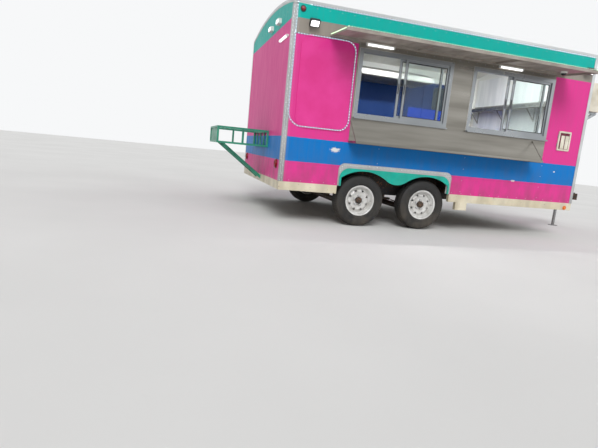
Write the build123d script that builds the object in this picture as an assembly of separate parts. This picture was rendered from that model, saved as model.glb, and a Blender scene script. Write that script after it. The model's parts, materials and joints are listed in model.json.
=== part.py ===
# Concession trailer: a box-bodied food trailer on two axles, with two sliding serving
# windows, a fixed canopy, a shelf, a railed rear rack and an A-frame tongue.
# Millimetres. Working frame: x runs forward from the rear wall's outer face, y runs left
# from the centreline (the serving side is at minus y), z runs up from the ground.
# On export every piece moves so that the origin is on the ground under the middle.
import math
import os

from build123d import *

# Body box
BODY_LENGTH = 4270
BODY_WIDTH = 2590
WALL = 45
FRAME_BOTTOM = 396
RAIL_HEIGHT = 100
EAVE_HEIGHT = 2520
ROOF_CROWN = 140
ROOF_THICKNESS = 40
CROSSMEMBER = 40
FLOOR_THICKNESS = 30

# Corner and edge trims
TRIM_SHEET = 4
REAR_TRIM_LEG = 80
FRONT_TRIM_LEG = 42
EDGE_TRIM_HEIGHT = 32

# Chassis
RAIL_WIDTH = 50
BEAM_WIDTH = 50
BEAM_INSET = 370
BEAM_WEB = 8
CROSSMEMBER_COUNT = 9
LIFT_PAD_GAP = 115
LIFT_PAD_LENGTH = 170
LIFT_PAD_HEIGHT = 100

# Tongue and coupler
TONGUE_LENGTH = 1230
TONGUE_TAIL = 970
TONGUE_HALF_ANGLE = 25
TONGUE_TIP_OFFSET = 40
TONGUE_PLATE = 8
TONGUE_PLATE_LENGTH = 330
TONGUE_TIE_REACH = 554
COUPLER_LENGTH = 190
COUPLER_NOSE = 48
COUPLER_HEIGHT = 58
COUPLER_WIDTH = 72
COUPLER_TAIL = 130
COUPLER_DROP = 30
COUPLER_CROWN = 22
LATCH_WIDTH = 18
LATCH_LENGTH = 140
LATCH_RISE = 34
SOCKET_RADIUS = 30
SOCKET_DEPTH = 36

# Running gear
AXLE_GROUP_X = 1505
AXLE_SPACING = 870
TYRE_RADIUS = 325
TYRE_WIDTH = 200
RIM_RADIUS = 190
RIM_SHEET = 5
BEAD_LAP = 8
TYRE_SKIN = 14
TYRE_INSET = 40
AXLE_DROP = 100
AXLE_TUBE_RADIUS = 38
SPINDLE_RADIUS = 20
SPINDLE_CLEARANCE = 0.5
HUB_RADIUS = 44
DRUM_RADIUS = 125
DRUM_WIDTH = 62
BACKING_PLATE = 6
BRAKE_GAP = 7
SPRING_HALF_LENGTH = 330
SPRING_WIDTH = 45
SPRING_LEAF = 7
SPRING_LEAVES = 5
LEAF_SHORTENING = 0.16
SPRING_CAMBER = 50
SPRING_EYE_RADIUS = 16
SEAT_LENGTH = 120
SEAT_WIDTH = 70
SEAT_RISE = 4
CLAMP_PLATE = 12
U_BOLT_RADIUS = 6
U_BOLT_SPREAD = 38
HANGER_SHEET = 6
HANGER_FOOT = 70
HANGER_ROUND = 24
SHACKLE_LENGTH = 31
SHACKLE_ROUND = 13
EQUALISER_WIDTH = 30
EQUALISER_DROP = 36
EQUALISER_ROUND = 15
DROP_ARM_WIDTH = 62
DROP_ARM_ROUND = 46
SPINDLE_BOSS = 34
RIM_VENTS = 8
VENT_HOLE_START = 104
VENT_HOLE_END = 133
VENT_HOLE_NARROW = 8
VENT_HOLE_WIDE = 38
DISC_FACE = 24
DISC_CREST = 16
WHEEL_LUGS = 5
LUG_INSET = 14
LUG_RADIUS = 10
LUG_HEIGHT = 18

# Fender panels, on the outside of the side walls
FENDER_LENGTH = 1560
FENDER_TOP = 770
FENDER_SHEET = 4
FENDER_CORNER = 80
FENDER_LAP = 36
ARCH_TOP = 692
ARCH_HALF_WIDTH = 300
VALLEY_BOTTOM = 556
SKIRT_MARGIN = 20
SKIRT_ABOVE_ARCH = 24
SKIRT_SHEET = 6
SKIRT_CORNER = 128
WELL_DEPTH = 330
WELL_SHEET = 3

# Serving windows: the wall behind, between, ahead of and above them
WINDOW_REAR_BAY = 850
WINDOW_PILLAR = 330
WINDOW_FRONT_BAY = 650
WINDOW_SILL = 1345
WINDOW_BELOW_EAVE = 425
WINDOW_FRAME = 28
WINDOW_FLANGE = 6
WINDOW_FLANGE_WIDTH = 20
SILL_REACH = 42
SILL_SHEET = 16
SASH_BAR = 26
SASH_THICKNESS = 14
SASH_TRACK_GAP = 6
SASH_SHOWING = 70
GLASS = 5

# Metal surround of the windows: what shows beyond them at the rear, front and top
SURROUND_REAR = 40
SURROUND_FRONT = 20
SURROUND_ABOVE = 70
SURROUND_SHEET = 3

# Canopy: how far it starts from the rear wall and ends before the front one
CANOPY_START = 452
CANOPY_SETBACK = 500
CANOPY_DEPTH = 490
CANOPY_ABOVE_WINDOW = 117
CANOPY_SHEET = 12
CANOPY_LIP = 34
CANOPY_FALL = 32
CANOPY_RAIL = 46
CANOPY_RAIL_LIP = 8
CANOPY_RIBS = 4
TUBE_LAMP_OFFSETS = (50, 335)
TUBE_LAMP_LENGTH = 345
TUBE_LAMP_RADIUS = 13
TUBE_LAMP_BASE = 12

# Shelf: how far it ends before the front wall
SHELF_SETBACK = 840
SHELF_DEPTH = 250
SHELF_TOP = 1041
SHELF_LIP = 26
SHELF_SHEET = 3
STAY_RADIUS = 4
STAY_HEIGHT = 235
STAY_EYE = 11

# Menu board
MENU_START = 122
MENU_WIDTH = 676
MENU_BOTTOM = 1132
MENU_BELOW_EAVE = 352
MENU_CORNER = 130
MENU_SHEET = 5
MENU_RIM = 16

# Entry door, on the road side, set back from the front wall
DOOR_SETBACK = 360
DOOR_WIDTH = 760
DOOR_BELOW_EAVE = 124
DOOR_GAP = 8
DOOR_THICKNESS = 40
DOOR_LIGHT_MARGIN = 180
DOOR_LIGHT_TOP = 160
DOOR_LIGHT_HEIGHT = 400
DOOR_LIGHT_CORNER = 40
DOOR_HINGE_PLACES = (0.12, 0.5, 0.88)
DOOR_HINGE_OFFSET = 10
DOOR_HINGE_RADIUS = 7
DOOR_HINGE_LENGTH = 80
DOOR_HINGE_LEAF = 4
DOOR_HINGE_PLATE = 70
HANDLE_REACH = 52
HANDLE_HEIGHT = 900
HANDLE_SETBACK = 70
HANDLE_LEVER = 120
HANDLE_PLATE = 5
HANDLE_PLATE_WIDTH = 56
HANDLE_PLATE_HEIGHT = 180
HANDLE_PLATE_CORNER = 12
HANDLE_STEM_RADIUS = 10
HANDLE_ROOT_RADIUS = 13
HANDLE_TIP_RADIUS = 9
HANDLE_LEVER_SHEET = 16

# Railed rack on the rear wall
RACK_LENGTH = 670
RACK_WIDTH = 1000
RACK_CENTRE = 0
RACK_BOTTOM = 868
RACK_HEIGHT = 216
RACK_TUBE = 25
RACK_BARS = 5
RACK_BAR = 15
RACK_PANEL = 3
RACK_SLATS = 7
RACK_SLAT_WIDTH = 30
RACK_SLAT_SHEET = 8
RACK_BRACE_OFFSET = 150
RACK_BRACE_START = 560
RACK_BRACE_FOOT = 450
RACK_BRACE_TUBE = 38

# Lamps. Rear lamps and the cooler are set in from the serving side's corner.
FLOOD_ABOVE_CANOPY = 50
FLOOD_SETBACKS = (235, 152)
FLOOD_REACH = 60
FLOOD_TILT = 35
FLOOD_SIZE = (110, 45, 80)
FLOOD_RISE = 20
FLOOD_STEM = 24
REAR_LAMP_INSETS = (655, 1110)
REAR_LAMP_BELOW_EAVE = 115
REAR_LAMP_SIZE = (45, 140, 62)
REAR_LAMP_CORNER = 12
REAR_TUBE_INSET = 145
REAR_TUBE_LENGTH = 365
REAR_TUBE_BELOW_EAVE = 370
TAIL_LAMP_INSET = 205
TAIL_LAMP_HEIGHT = 690
TAIL_LAMP_RADIUS = 50
TAIL_LAMP_RING = 8
TAIL_LAMP_SHEET = 10
MARKER_SETBACK = 108
MARKER_RISE = 32
MARKER_RADIUS = 29
MARKER_LENS = 19
MARKER_SHEET = 5
MARKER_REACH = 14

# Air conditioner on the front wall
COOLER_WIDTH = 560
COOLER_HEIGHT = 390
COOLER_REACH = 380
COOLER_BELOW_EAVE = 320
COOLER_INSET = 445
COOLER_BRACE = 240
COOLER_CORNER = 18
COOLER_WELL = 30
COOLER_HUB = 40
COOLER_HUB_SET = 6
COOLER_GRILLE = 156
BRACKET_BAR = 30

# Exhaust vent on the roof, over the hood
VENT_RADIUS = 150
VENT_THROAT = 110
VENT_RISE = 110
VENT_CAP_RADIUS = 235
VENT_CAP_HEIGHT = 70
VENT_SHEET = 4

# Small hatch near the front of the serving side
HATCH_SETBACK = 327
HATCH_WIDTH = 205
HATCH_HEIGHT = 260
HATCH_MIDDLE = 1338
HATCH_DEPTH = 14
HATCH_RIM = 22

# Interior fittings
COUNTER_DEPTH = 430
COUNTER_TOP = 1310
COUNTER_SHEET = 40
COUNTER_OVERHANG = 200
COUNTER_LEG = 40
COUNTER_SHELF_GAP = 60
COUNTER_SHELF_SHEET = 20
COUNTER_MID_LEG = 300
COOK_START = 420
COOK_LENGTH = 2400
COOK_DEPTH = 620
COOK_TOP = 1440
COOK_LEG = 50
COOK_RIM = 60
GRIDDLE_LENGTH = 1440
GRIDDLE_DEPTH = 40
FRYER_LENGTH = 760
FRYER_DEPTH = 220
HOOD_BELOW_EAVE = 180
HOOD_HEIGHT = 185
HOOD_OVERHANG = 60
HOOD_FRONT = 120
HOOD_SHOULDER = 350
HOOD_LIP = 80

# Jack on the tongue
JACK_TUBE_RADIUS = 29
JACK_LEG_RADIUS = 24
JACK_TOP = 960
JACK_TUBE_BOTTOM = 330
JACK_SETBACK = 210
JACK_FOOT_RADIUS = 75
JACK_FOOT = 10
JACK_CAP_LIP = 9
JACK_CAP = 26
CRANK_SHAFT_RADIUS = 9
CRANK_REACH = 90
CRANK_ARM = 110
CRANK_BAR = 14
CRANK_GRIP = 100
CRANK_GRIP_RADIUS = 13

# Places worked out from the sizes above
HALF_WIDTH = BODY_WIDTH / 2
BEAM_OFFSET = HALF_WIDTH - BEAM_INSET
RAIL_TOP = FRAME_BOTTOM + RAIL_HEIGHT
DECK_BOTTOM = RAIL_TOP + CROSSMEMBER
DECK_TOP = DECK_BOTTOM + FLOOR_THICKNESS
WALL_TOP = EAVE_HEIGHT - ROOF_THICKNESS
INNER_WALL = HALF_WIDTH - WALL
FENDER_START = AXLE_GROUP_X - FENDER_LENGTH / 2
FENDER_END = AXLE_GROUP_X + FENDER_LENGTH / 2
WELL_INNER = HALF_WIDTH - WELL_DEPTH
LIFT_PAD_START = FENDER_END + LIFT_PAD_GAP
AXLE_PLACES = {"rear": AXLE_GROUP_X - AXLE_SPACING / 2, "front": AXLE_GROUP_X + AXLE_SPACING / 2}
SIDES = {"right": -1, "left": 1}
AXLE_HEIGHT = TYRE_RADIUS - AXLE_DROP
WHEEL_MIDDLE = HALF_WIDTH - TYRE_INSET - TYRE_WIDTH / 2
WHEEL_INNER = WHEEL_MIDDLE - TYRE_WIDTH / 2
SPRING_SEAT = AXLE_HEIGHT + AXLE_TUBE_RADIUS + SEAT_RISE
EYE_HEIGHT = SPRING_SEAT + (SPRING_LEAVES - 0.5) * SPRING_LEAF + SPRING_CAMBER
EQUALISER_HALF = AXLE_SPACING / 2 - SPRING_HALF_LENGTH - SHACKLE_LENGTH
WINDOW_WIDTH = (BODY_LENGTH - WINDOW_REAR_BAY - WINDOW_PILLAR - WINDOW_FRONT_BAY) / 2
WINDOW_STARTS = (WINDOW_REAR_BAY, WINDOW_REAR_BAY + WINDOW_WIDTH + WINDOW_PILLAR)
WINDOW_TOP = EAVE_HEIGHT - WINDOW_BELOW_EAVE
MENU_HEIGHT = EAVE_HEIGHT - MENU_BELOW_EAVE - MENU_BOTTOM
DOOR_HEIGHT = EAVE_HEIGHT - DOOR_BELOW_EAVE - DECK_TOP
HOOD_BOTTOM = EAVE_HEIGHT - HOOD_BELOW_EAVE - HOOD_HEIGHT
COOLER_BOTTOM = EAVE_HEIGHT - COOLER_BELOW_EAVE - COOLER_HEIGHT
REAR_LAMP_HEIGHT = EAVE_HEIGHT - REAR_LAMP_BELOW_EAVE
REAR_TUBE_HEIGHT = EAVE_HEIGHT - REAR_TUBE_BELOW_EAVE
CANOPY_HEIGHT = WINDOW_TOP + CANOPY_ABOVE_WINDOW
CANOPY_LENGTH = BODY_LENGTH - CANOPY_START - CANOPY_SETBACK
TUBE_LAMP_STARTS = tuple(start + offset for start, offset in zip(WINDOW_STARTS, TUBE_LAMP_OFFSETS))
SHELF_START = WINDOW_STARTS[0] - SURROUND_REAR
SHELF_LENGTH = BODY_LENGTH - SHELF_START - SHELF_SETBACK
FLOOD_HEIGHT = CANOPY_HEIGHT + FLOOD_ABOVE_CANOPY
FLOOD_POSITIONS = (FLOOD_SETBACKS[0], BODY_LENGTH - FLOOD_SETBACKS[1])
SHELF_BACK = HALF_WIDTH + SURROUND_SHEET
DOOR_START = BODY_LENGTH - DOOR_SETBACK - DOOR_WIDTH
COOLER_CENTRE = COOLER_INSET - HALF_WIDTH
COUNTER_START = WINDOW_STARTS[0] - COUNTER_OVERHANG
COUNTER_END = WINDOW_STARTS[-1] + WINDOW_WIDTH
COUNTER_LEGS = (COUNTER_START, (COUNTER_START + COUNTER_END) / 2 + COUNTER_MID_LEG,
                COUNTER_END - COUNTER_LEG)
COUNTER_SHELF = FENDER_TOP + WELL_SHEET + COUNTER_SHELF_GAP
VENT_X = COOK_START + COOK_LENGTH / 2
VENT_Y = INNER_WALL - COOK_DEPTH / 2
TONGUE_TIP = BODY_LENGTH + TONGUE_LENGTH
COUPLER_TIP = TONGUE_TIP + COUPLER_LENGTH
CANOPY_EDGE = HALF_WIDTH + CANOPY_RAIL + CANOPY_DEPTH
HANDLE_EDGE = HALF_WIDTH + HANDLE_REACH
ORIGIN_X = (COUPLER_TIP - RACK_LENGTH) / 2
ORIGIN_Y = (HANDLE_EDGE - CANOPY_EDGE) / 2

PARTS = {}


def keep(name, *shapes):
    """Files one sub-part. Several shapes are separate solids of one node."""
    PARTS[name] = shapes[0] if len(shapes) == 1 else Compound(children=list(shapes))


def block(x0, x1, y0, y1, z0, z1):
    """A plain box between two corners."""
    size = (x1 - x0, abs(y1 - y0), z1 - z0)
    return Pos((x0 + x1) / 2, (y0 + y1) / 2, (z0 + z1) / 2) * Box(*size)


def across(x, z, radius, y0, y1):
    """A round bar along y."""
    return Pos(x, (y0 + y1) / 2, z) * Rot(90, 0, 0) * Cylinder(radius, abs(y1 - y0))


def along(y, z, radius, x0, x1):
    """A round bar along x."""
    return Pos((x0 + x1) / 2, y, z) * Rot(0, 90, 0) * Cylinder(radius, x1 - x0)


def upright(x, y, radius, z0, z1):
    """A round bar along z."""
    return Pos(x, y, (z0 + z1) / 2) * Cylinder(radius, z1 - z0)


def strut(start, end, width, height):
    """A bar with a rectangular section from one point to another."""
    a, b = Vector(*start), Vector(*end)
    run = b - a
    level = Vector(-run.Y, run.X, 0) if abs(run.X) + abs(run.Y) > 1e-6 else Vector(1, 0, 0)
    plane = Plane(origin=a, x_dir=level.normalized(), z_dir=run.normalized())
    return extrude(plane * Rectangle(width, height), run.length)


def rod(start, end, radius):
    """A round bar from one point to another."""
    a, b = Vector(*start), Vector(*end)
    return extrude(Plane(origin=a, z_dir=(b - a).normalized()) * Circle(radius), (b - a).length)


def strap_outline(start, end, start_radius, end_radius):
    """A flat link in x and z: two round ends joined by their common tangents."""
    (ax, az), (bx, bz) = start, end
    heading = math.atan2(bz - az, bx - ax)
    lean = math.acos((start_radius - end_radius) / math.hypot(bx - ax, bz - az))

    def rim(x, z, radius, angle):
        return (x + radius * math.cos(angle), z + radius * math.sin(angle))

    upper, lower = heading + lean, heading - lean
    return make_face([
        Line(rim(ax, az, start_radius, upper), rim(bx, bz, end_radius, upper)),
        ThreePointArc(rim(bx, bz, end_radius, upper), rim(bx, bz, end_radius, heading),
                      rim(bx, bz, end_radius, lower)),
        Line(rim(bx, bz, end_radius, lower), rim(ax, az, start_radius, lower)),
        ThreePointArc(rim(ax, az, start_radius, lower), rim(ax, az, start_radius, heading + math.pi),
                      rim(ax, az, start_radius, upper)),
    ])


def panel(outline, y0, y1):
    """A sheet on a side wall: an outline in x and z, from y0 to y1."""
    low, high = sorted((y0, y1))
    plane = Plane(origin=(0, high, 0), x_dir=(1, 0, 0), z_dir=(0, -1, 0))
    return extrude(plane * outline, high - low)


def rounded(x0, x1, z0, z1, radius):
    """A rounded rectangle as a flat outline in x and z."""
    return Pos((x0 + x1) / 2, (z0 + z1) / 2) * RectangleRounded(x1 - x0, z1 - z0, radius)


def arch_face(x, eave, bottom):
    """The cross-section of the body at x: flat sides and an arched top."""
    left, right = (HALF_WIDTH, eave), (-HALF_WIDTH, eave)
    top = ThreePointArc(left, (0, eave + ROOF_CROWN), right)
    sides = Polyline(right, (-HALF_WIDTH, bottom), (HALF_WIDTH, bottom), left)
    plane = Plane(origin=(x, 0, 0), x_dir=(0, 1, 0), z_dir=(1, 0, 0))
    return plane * make_face([*top.edges(), *sides.edges()])


def house(x0, x1, bottom, drop=0):
    """The body's volume from x0 to x1 above bottom, with its arched top lowered by drop."""
    return extrude(arch_face(x0, EAVE_HEIGHT - drop, bottom), x1 - x0)


def main_beam(side):
    """One main beam, an open channel, with its side's tail of the A-frame welded to it."""
    y = side * BEAM_OFFSET
    far = BODY_LENGTH - RAIL_WIDTH
    beam = block(RAIL_WIDTH, far, y - BEAM_WIDTH / 2, y + BEAM_WIDTH / 2, FRAME_BOTTOM, RAIL_TOP)
    hollow = block(RAIL_WIDTH, far, y - side * BEAM_WIDTH / 2, y + side * (BEAM_WIDTH / 2 - BEAM_WEB),
                   FRAME_BOTTOM + BEAM_WEB, RAIL_TOP - BEAM_WEB)
    weld = side * (BEAM_OFFSET - BEAM_WIDTH / 2 + BEAM_WEB)
    tail = tongue_beam(side) & block(0, far, 0, weld, FRAME_BOTTOM, RAIL_TOP)
    return beam - hollow + tail


def crossmembers():
    """The floor's crossmembers on the main beams, shortened between the wheel boxes."""
    step = (BODY_LENGTH - 2 * RAIL_WIDTH - CROSSMEMBER) / (CROSSMEMBER_COUNT - 1)
    bars = []
    for number in range(CROSSMEMBER_COUNT):
        x = RAIL_WIDTH + number * step
        beside_wheels = FENDER_START - CROSSMEMBER < x < FENDER_END
        reach = WELL_INNER if beside_wheels else INNER_WALL
        bars.append(block(x, x + CROSSMEMBER, -reach, reach, RAIL_TOP, DECK_BOTTOM))
    return bars


def tongue_beam(side):
    """One side of the A-frame, from the tip to beyond the main beam."""
    z = (FRAME_BOTTOM + RAIL_TOP) / 2
    reach = TONGUE_LENGTH + TONGUE_TAIL
    angle = math.radians(TONGUE_HALF_ANGLE)
    tail = (TONGUE_TIP - reach, side * (TONGUE_TIP_OFFSET + reach * math.tan(angle)), z)
    return strut((TONGUE_TIP, side * TONGUE_TIP_OFFSET, z), tail, BEAM_WIDTH, RAIL_HEIGHT)


def tongue_frame():
    """The A-frame ahead of the body, with the plate that carries coupler and jack."""
    ahead = block(BODY_LENGTH, TONGUE_TIP, -HALF_WIDTH, HALF_WIDTH, FRAME_BOTTOM, RAIL_TOP)
    beams = (tongue_beam(-1) & ahead) + (tongue_beam(1) & ahead)
    slope = math.tan(math.radians(TONGUE_HALF_ANGLE))
    back = TONGUE_TIP - TONGUE_PLATE_LENGTH
    tip_half = TONGUE_TIP_OFFSET + BEAM_WIDTH / 2
    back_half = tip_half + TONGUE_PLATE_LENGTH * slope
    outline = Polyline((back, -back_half), (TONGUE_TIP, -tip_half), (TONGUE_TIP, tip_half),
                       (back, back_half), close=True)
    plate = extrude(Plane.XY.offset(RAIL_TOP) * make_face(outline.edges()), TONGUE_PLATE)
    hole = upright(TONGUE_TIP - JACK_SETBACK, 0, JACK_TUBE_RADIUS, RAIL_TOP, RAIL_TOP + TONGUE_PLATE)
    tie_x = BODY_LENGTH + TONGUE_TIE_REACH
    half = (TONGUE_TIP - tie_x) * slope + TONGUE_TIP_OFFSET
    tie = block(tie_x - BEAM_WIDTH / 2, tie_x + BEAM_WIDTH / 2, -half, half, FRAME_BOTTOM, RAIL_TOP)
    return beams + (plate - hole) + tie


def coupler():
    """The ball coupler: a channel on the plate that swells into a round nose with its socket."""
    seat = RAIL_TOP + TONGUE_PLATE
    bottom = seat - COUPLER_DROP
    top = seat + COUPLER_HEIGHT
    nose_x = COUPLER_TIP - COUPLER_NOSE
    body = block(TONGUE_TIP - COUPLER_TAIL, nose_x, -COUPLER_WIDTH / 2, COUPLER_WIDTH / 2, seat, top)
    nose = upright(nose_x, 0, COUPLER_NOSE, bottom, top)
    crown = Pos(nose_x, 0, top) * Sphere(COUPLER_NOSE)
    crown &= upright(nose_x, 0, COUPLER_NOSE, top, top + COUPLER_CROWN)
    latch = block(nose_x - LATCH_LENGTH, nose_x, -LATCH_WIDTH / 2, LATCH_WIDTH / 2, top, top + LATCH_RISE)
    socket = upright(nose_x, 0, SOCKET_RADIUS, bottom, bottom + SOCKET_DEPTH)
    return body + nose + crown + latch - socket


def tongue_jack():
    """The drop-leg jack, down on its foot, with its side crank."""
    x = TONGUE_TIP - JACK_SETBACK
    end = x + CRANK_REACH
    shaft_z = JACK_TOP + JACK_CAP / 2
    tube = upright(x, 0, JACK_TUBE_RADIUS, JACK_TUBE_BOTTOM, JACK_TOP)
    leg = upright(x, 0, JACK_LEG_RADIUS, JACK_FOOT, JACK_TUBE_BOTTOM)
    foot = upright(x, 0, JACK_FOOT_RADIUS, 0, JACK_FOOT)
    cap = upright(x, 0, JACK_TUBE_RADIUS + JACK_CAP_LIP, JACK_TOP, JACK_TOP + JACK_CAP)
    shaft = along(0, shaft_z, CRANK_SHAFT_RADIUS, x, end)
    arm = panel(strap_outline((shaft_z, 0), (shaft_z - CRANK_ARM, 0), CRANK_GRIP_RADIUS, CRANK_SHAFT_RADIUS),
                -CRANK_BAR / 2, CRANK_BAR / 2)
    arm = Pos(end - CRANK_BAR / 2, 0, 0) * Rot(0, -90, 0) * Rot(90, 0, 0) * arm
    grip = along(0, shaft_z - CRANK_ARM, CRANK_GRIP_RADIUS, end, end + CRANK_GRIP)
    return tube + leg + foot + cap + shaft + arm + grip


def skirt_rail():
    """The pale rail round the bottom of the body, open at the wheels, with a lifting pad a side."""
    outer = block(0, BODY_LENGTH, -HALF_WIDTH, HALF_WIDTH, FRAME_BOTTOM, RAIL_TOP)
    inner = block(RAIL_WIDTH, BODY_LENGTH - RAIL_WIDTH, -HALF_WIDTH + RAIL_WIDTH,
                  HALF_WIDTH - RAIL_WIDTH, FRAME_BOTTOM, RAIL_TOP)
    rail = outer - inner
    rail -= block(FENDER_START, FENDER_END, -HALF_WIDTH, HALF_WIDTH, FRAME_BOTTOM, RAIL_TOP)
    for side in SIDES.values():
        rail += block(LIFT_PAD_START, LIFT_PAD_START + LIFT_PAD_LENGTH, side * HALF_WIDTH,
                      side * (HALF_WIDTH - RAIL_WIDTH), FRAME_BOTTOM - LIFT_PAD_HEIGHT, FRAME_BOTTOM)
    return rail


def floor_deck():
    """The plank floor between the walls, notched for the wheel boxes."""
    deck = block(WALL, BODY_LENGTH - WALL, -INNER_WALL, INNER_WALL, DECK_BOTTOM, DECK_TOP)
    for side in SIDES.values():
        low, high = sorted((side * WELL_INNER, side * HALF_WIDTH))
        deck -= block(FENDER_START, FENDER_END, low, high, DECK_BOTTOM, DECK_TOP)
    return deck


def wheel_well(side):
    """A sheet box over both wheels of one side, open below and outwards."""
    top = FENDER_TOP + WELL_SHEET
    outer = block(FENDER_START, FENDER_END, side * WELL_INNER, side * INNER_WALL, RAIL_TOP, top)
    inner = block(FENDER_START + WELL_SHEET, FENDER_END - WELL_SHEET,
                  side * (WELL_INNER + WELL_SHEET), side * INNER_WALL, RAIL_TOP, top - WELL_SHEET)
    return outer - inner


def side_wall(side, openings):
    """One side wall under the roof, with its wheel opening and the openings given."""
    low, high = sorted((side * INNER_WALL, side * HALF_WIDTH))
    wall = house(0, BODY_LENGTH, RAIL_TOP, ROOF_THICKNESS)
    wall &= block(0, BODY_LENGTH, low, high, RAIL_TOP, EAVE_HEIGHT)
    wall -= block(FENDER_START + FENDER_LAP, FENDER_END - FENDER_LAP, low, high,
                  RAIL_TOP, FENDER_TOP - FENDER_LAP)
    for x0, x1, z0, z1 in openings:
        wall -= block(x0, x1, low, high, z0, z1)
    return wall


def end_wall(x0, x1):
    """The rear or front wall, between the side walls, with its arched top."""
    wall = house(x0, x1, RAIL_TOP, ROOF_THICKNESS)
    return wall & block(x0, x1, -INNER_WALL, INNER_WALL, RAIL_TOP, EAVE_HEIGHT + ROOF_CROWN)


def roof():
    """The arched roof skin with its thickness."""
    return house(0, BODY_LENGTH, WALL_TOP) - house(0, BODY_LENGTH, WALL_TOP - ROOF_THICKNESS, ROOF_THICKNESS)


def corner_cap(x, forward, side, leg):
    """One folded corner trim: forward is +1 for a cap that wraps onto the rear wall."""
    edge = side * HALF_WIDTH
    out = side * (HALF_WIDTH + TRIM_SHEET)
    near, far = sorted((x - forward * TRIM_SHEET, x + forward * leg))
    flat = block(near, far, edge, out, RAIL_TOP, WALL_TOP)
    low, high = sorted((x - forward * TRIM_SHEET, x))
    return flat + block(low, high, edge - side * leg, out, RAIL_TOP, WALL_TOP)


def roof_edge_trim():
    """The edge trim where the roof meets the walls, all the way round."""
    out = HALF_WIDTH + TRIM_SHEET
    trim = block(-TRIM_SHEET, BODY_LENGTH + TRIM_SHEET, HALF_WIDTH, out,
                 EAVE_HEIGHT - EDGE_TRIM_HEIGHT, EAVE_HEIGHT)
    trim += block(-TRIM_SHEET, BODY_LENGTH + TRIM_SHEET, -out, -HALF_WIDTH,
                  EAVE_HEIGHT - EDGE_TRIM_HEIGHT, EAVE_HEIGHT)
    for x in (-TRIM_SHEET, BODY_LENGTH):
        band = house(x, x + TRIM_SHEET, EAVE_HEIGHT - EDGE_TRIM_HEIGHT)
        trim += band - house(x, x + TRIM_SHEET, RAIL_TOP, EDGE_TRIM_HEIGHT)
    return trim


def wave_outline(x0, x1, bottom, top, corner):
    """A fender outline: rounded top corners, two arches below and a rounded valley between."""
    rise = ARCH_TOP - VALLEY_BOTTOM
    valley_half = AXLE_SPACING / 2 - ARCH_HALF_WIDTH
    foot = ARCH_TOP - rise * ARCH_HALF_WIDTH / (AXLE_SPACING / 2)
    rear, front = AXLE_PLACES["rear"], AXLE_PLACES["front"]
    leg = rear - ARCH_HALF_WIDTH
    edges = [
        ThreePointArc((leg, foot), (rear, ARCH_TOP), (rear + ARCH_HALF_WIDTH, foot)),
        ThreePointArc((rear + ARCH_HALF_WIDTH, foot), (AXLE_GROUP_X, VALLEY_BOTTOM),
                      (rear + ARCH_HALF_WIDTH + 2 * valley_half, foot)),
        ThreePointArc((front - ARCH_HALF_WIDTH, foot), (front, ARCH_TOP),
                      (front + ARCH_HALF_WIDTH, foot)),
        Line((front + ARCH_HALF_WIDTH, foot), (front + ARCH_HALF_WIDTH, bottom)),
        Line((front + ARCH_HALF_WIDTH, bottom), (x1, bottom)),
        Line((x1, bottom), (x1, top - corner)),
        RadiusArc((x1, top - corner), (x1 - corner, top), -corner),
        Line((x1 - corner, top), (x0 + corner, top)),
        RadiusArc((x0 + corner, top), (x0, top - corner), -corner),
        Line((x0, top - corner), (x0, bottom)),
        Line((x0, bottom), (leg, bottom)),
        Line((leg, bottom), (leg, foot)),
    ]
    return make_face(edges)


def fender_panel(side):
    """The bright panel round both wheels of one side."""
    outline = wave_outline(FENDER_START, FENDER_END, RAIL_TOP, FENDER_TOP, FENDER_CORNER)
    return panel(outline, side * HALF_WIDTH, side * (HALF_WIDTH + FENDER_SHEET))


def fender_skirt(side):
    """The painted skirt that follows the two arches, on the fender panel."""
    outline = wave_outline(FENDER_START + SKIRT_MARGIN, FENDER_END - SKIRT_MARGIN, RAIL_TOP,
                           ARCH_TOP + SKIRT_ABOVE_ARCH, SKIRT_CORNER)
    inner = side * (HALF_WIDTH + FENDER_SHEET)
    return panel(outline, inner, inner + side * SKIRT_SHEET)


def window_surround():
    """The metal sheet round and below both serving windows."""
    rear = WINDOW_STARTS[0] - SURROUND_REAR
    front = WINDOW_STARTS[-1] + WINDOW_WIDTH + SURROUND_FRONT
    sheet = block(rear, front, -SHELF_BACK, -HALF_WIDTH, SHELF_TOP - SHELF_LIP, WINDOW_TOP + SURROUND_ABOVE)
    for start in WINDOW_STARTS:
        sheet -= block(start, start + WINDOW_WIDTH, -SHELF_BACK, -HALF_WIDTH, WINDOW_SILL, WINDOW_TOP)
    return sheet


def window_frame(start):
    """One window's box frame through the wall, with its outer flange and its projecting sill."""
    end, top = start + WINDOW_WIDTH, WINDOW_TOP
    face = -SHELF_BACK
    box = block(start, end, face, -INNER_WALL, WINDOW_SILL, top)
    wide = WINDOW_FLANGE_WIDTH
    flange = block(start - wide, end + wide, face - WINDOW_FLANGE, face, WINDOW_SILL - wide, top + wide)
    flange += block(start - wide, end + wide, face - SILL_REACH, face,
                    WINDOW_SILL - wide - SILL_SHEET, WINDOW_SILL - wide)
    clear = block(start + WINDOW_FRAME, end - WINDOW_FRAME, face - WINDOW_FLANGE, -INNER_WALL,
                  WINDOW_SILL + WINDOW_FRAME, top - WINDOW_FRAME)
    return box + flange - clear


def sash_box(start, outer_track):
    """The low and high corners in x and y of one sash: the outer one is shut, the inner slid open."""
    first, last = start + WINDOW_FRAME, start + WINDOW_WIDTH - WINDOW_FRAME
    width = (last - first) / 2 + SASH_BAR / 2
    if outer_track:
        x1 = last
        y0 = -HALF_WIDTH + SASH_TRACK_GAP
    else:
        x1 = last - SASH_SHOWING
        y0 = -HALF_WIDTH + 2 * SASH_TRACK_GAP + SASH_THICKNESS
    return x1 - width, x1, y0, y0 + SASH_THICKNESS


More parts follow.
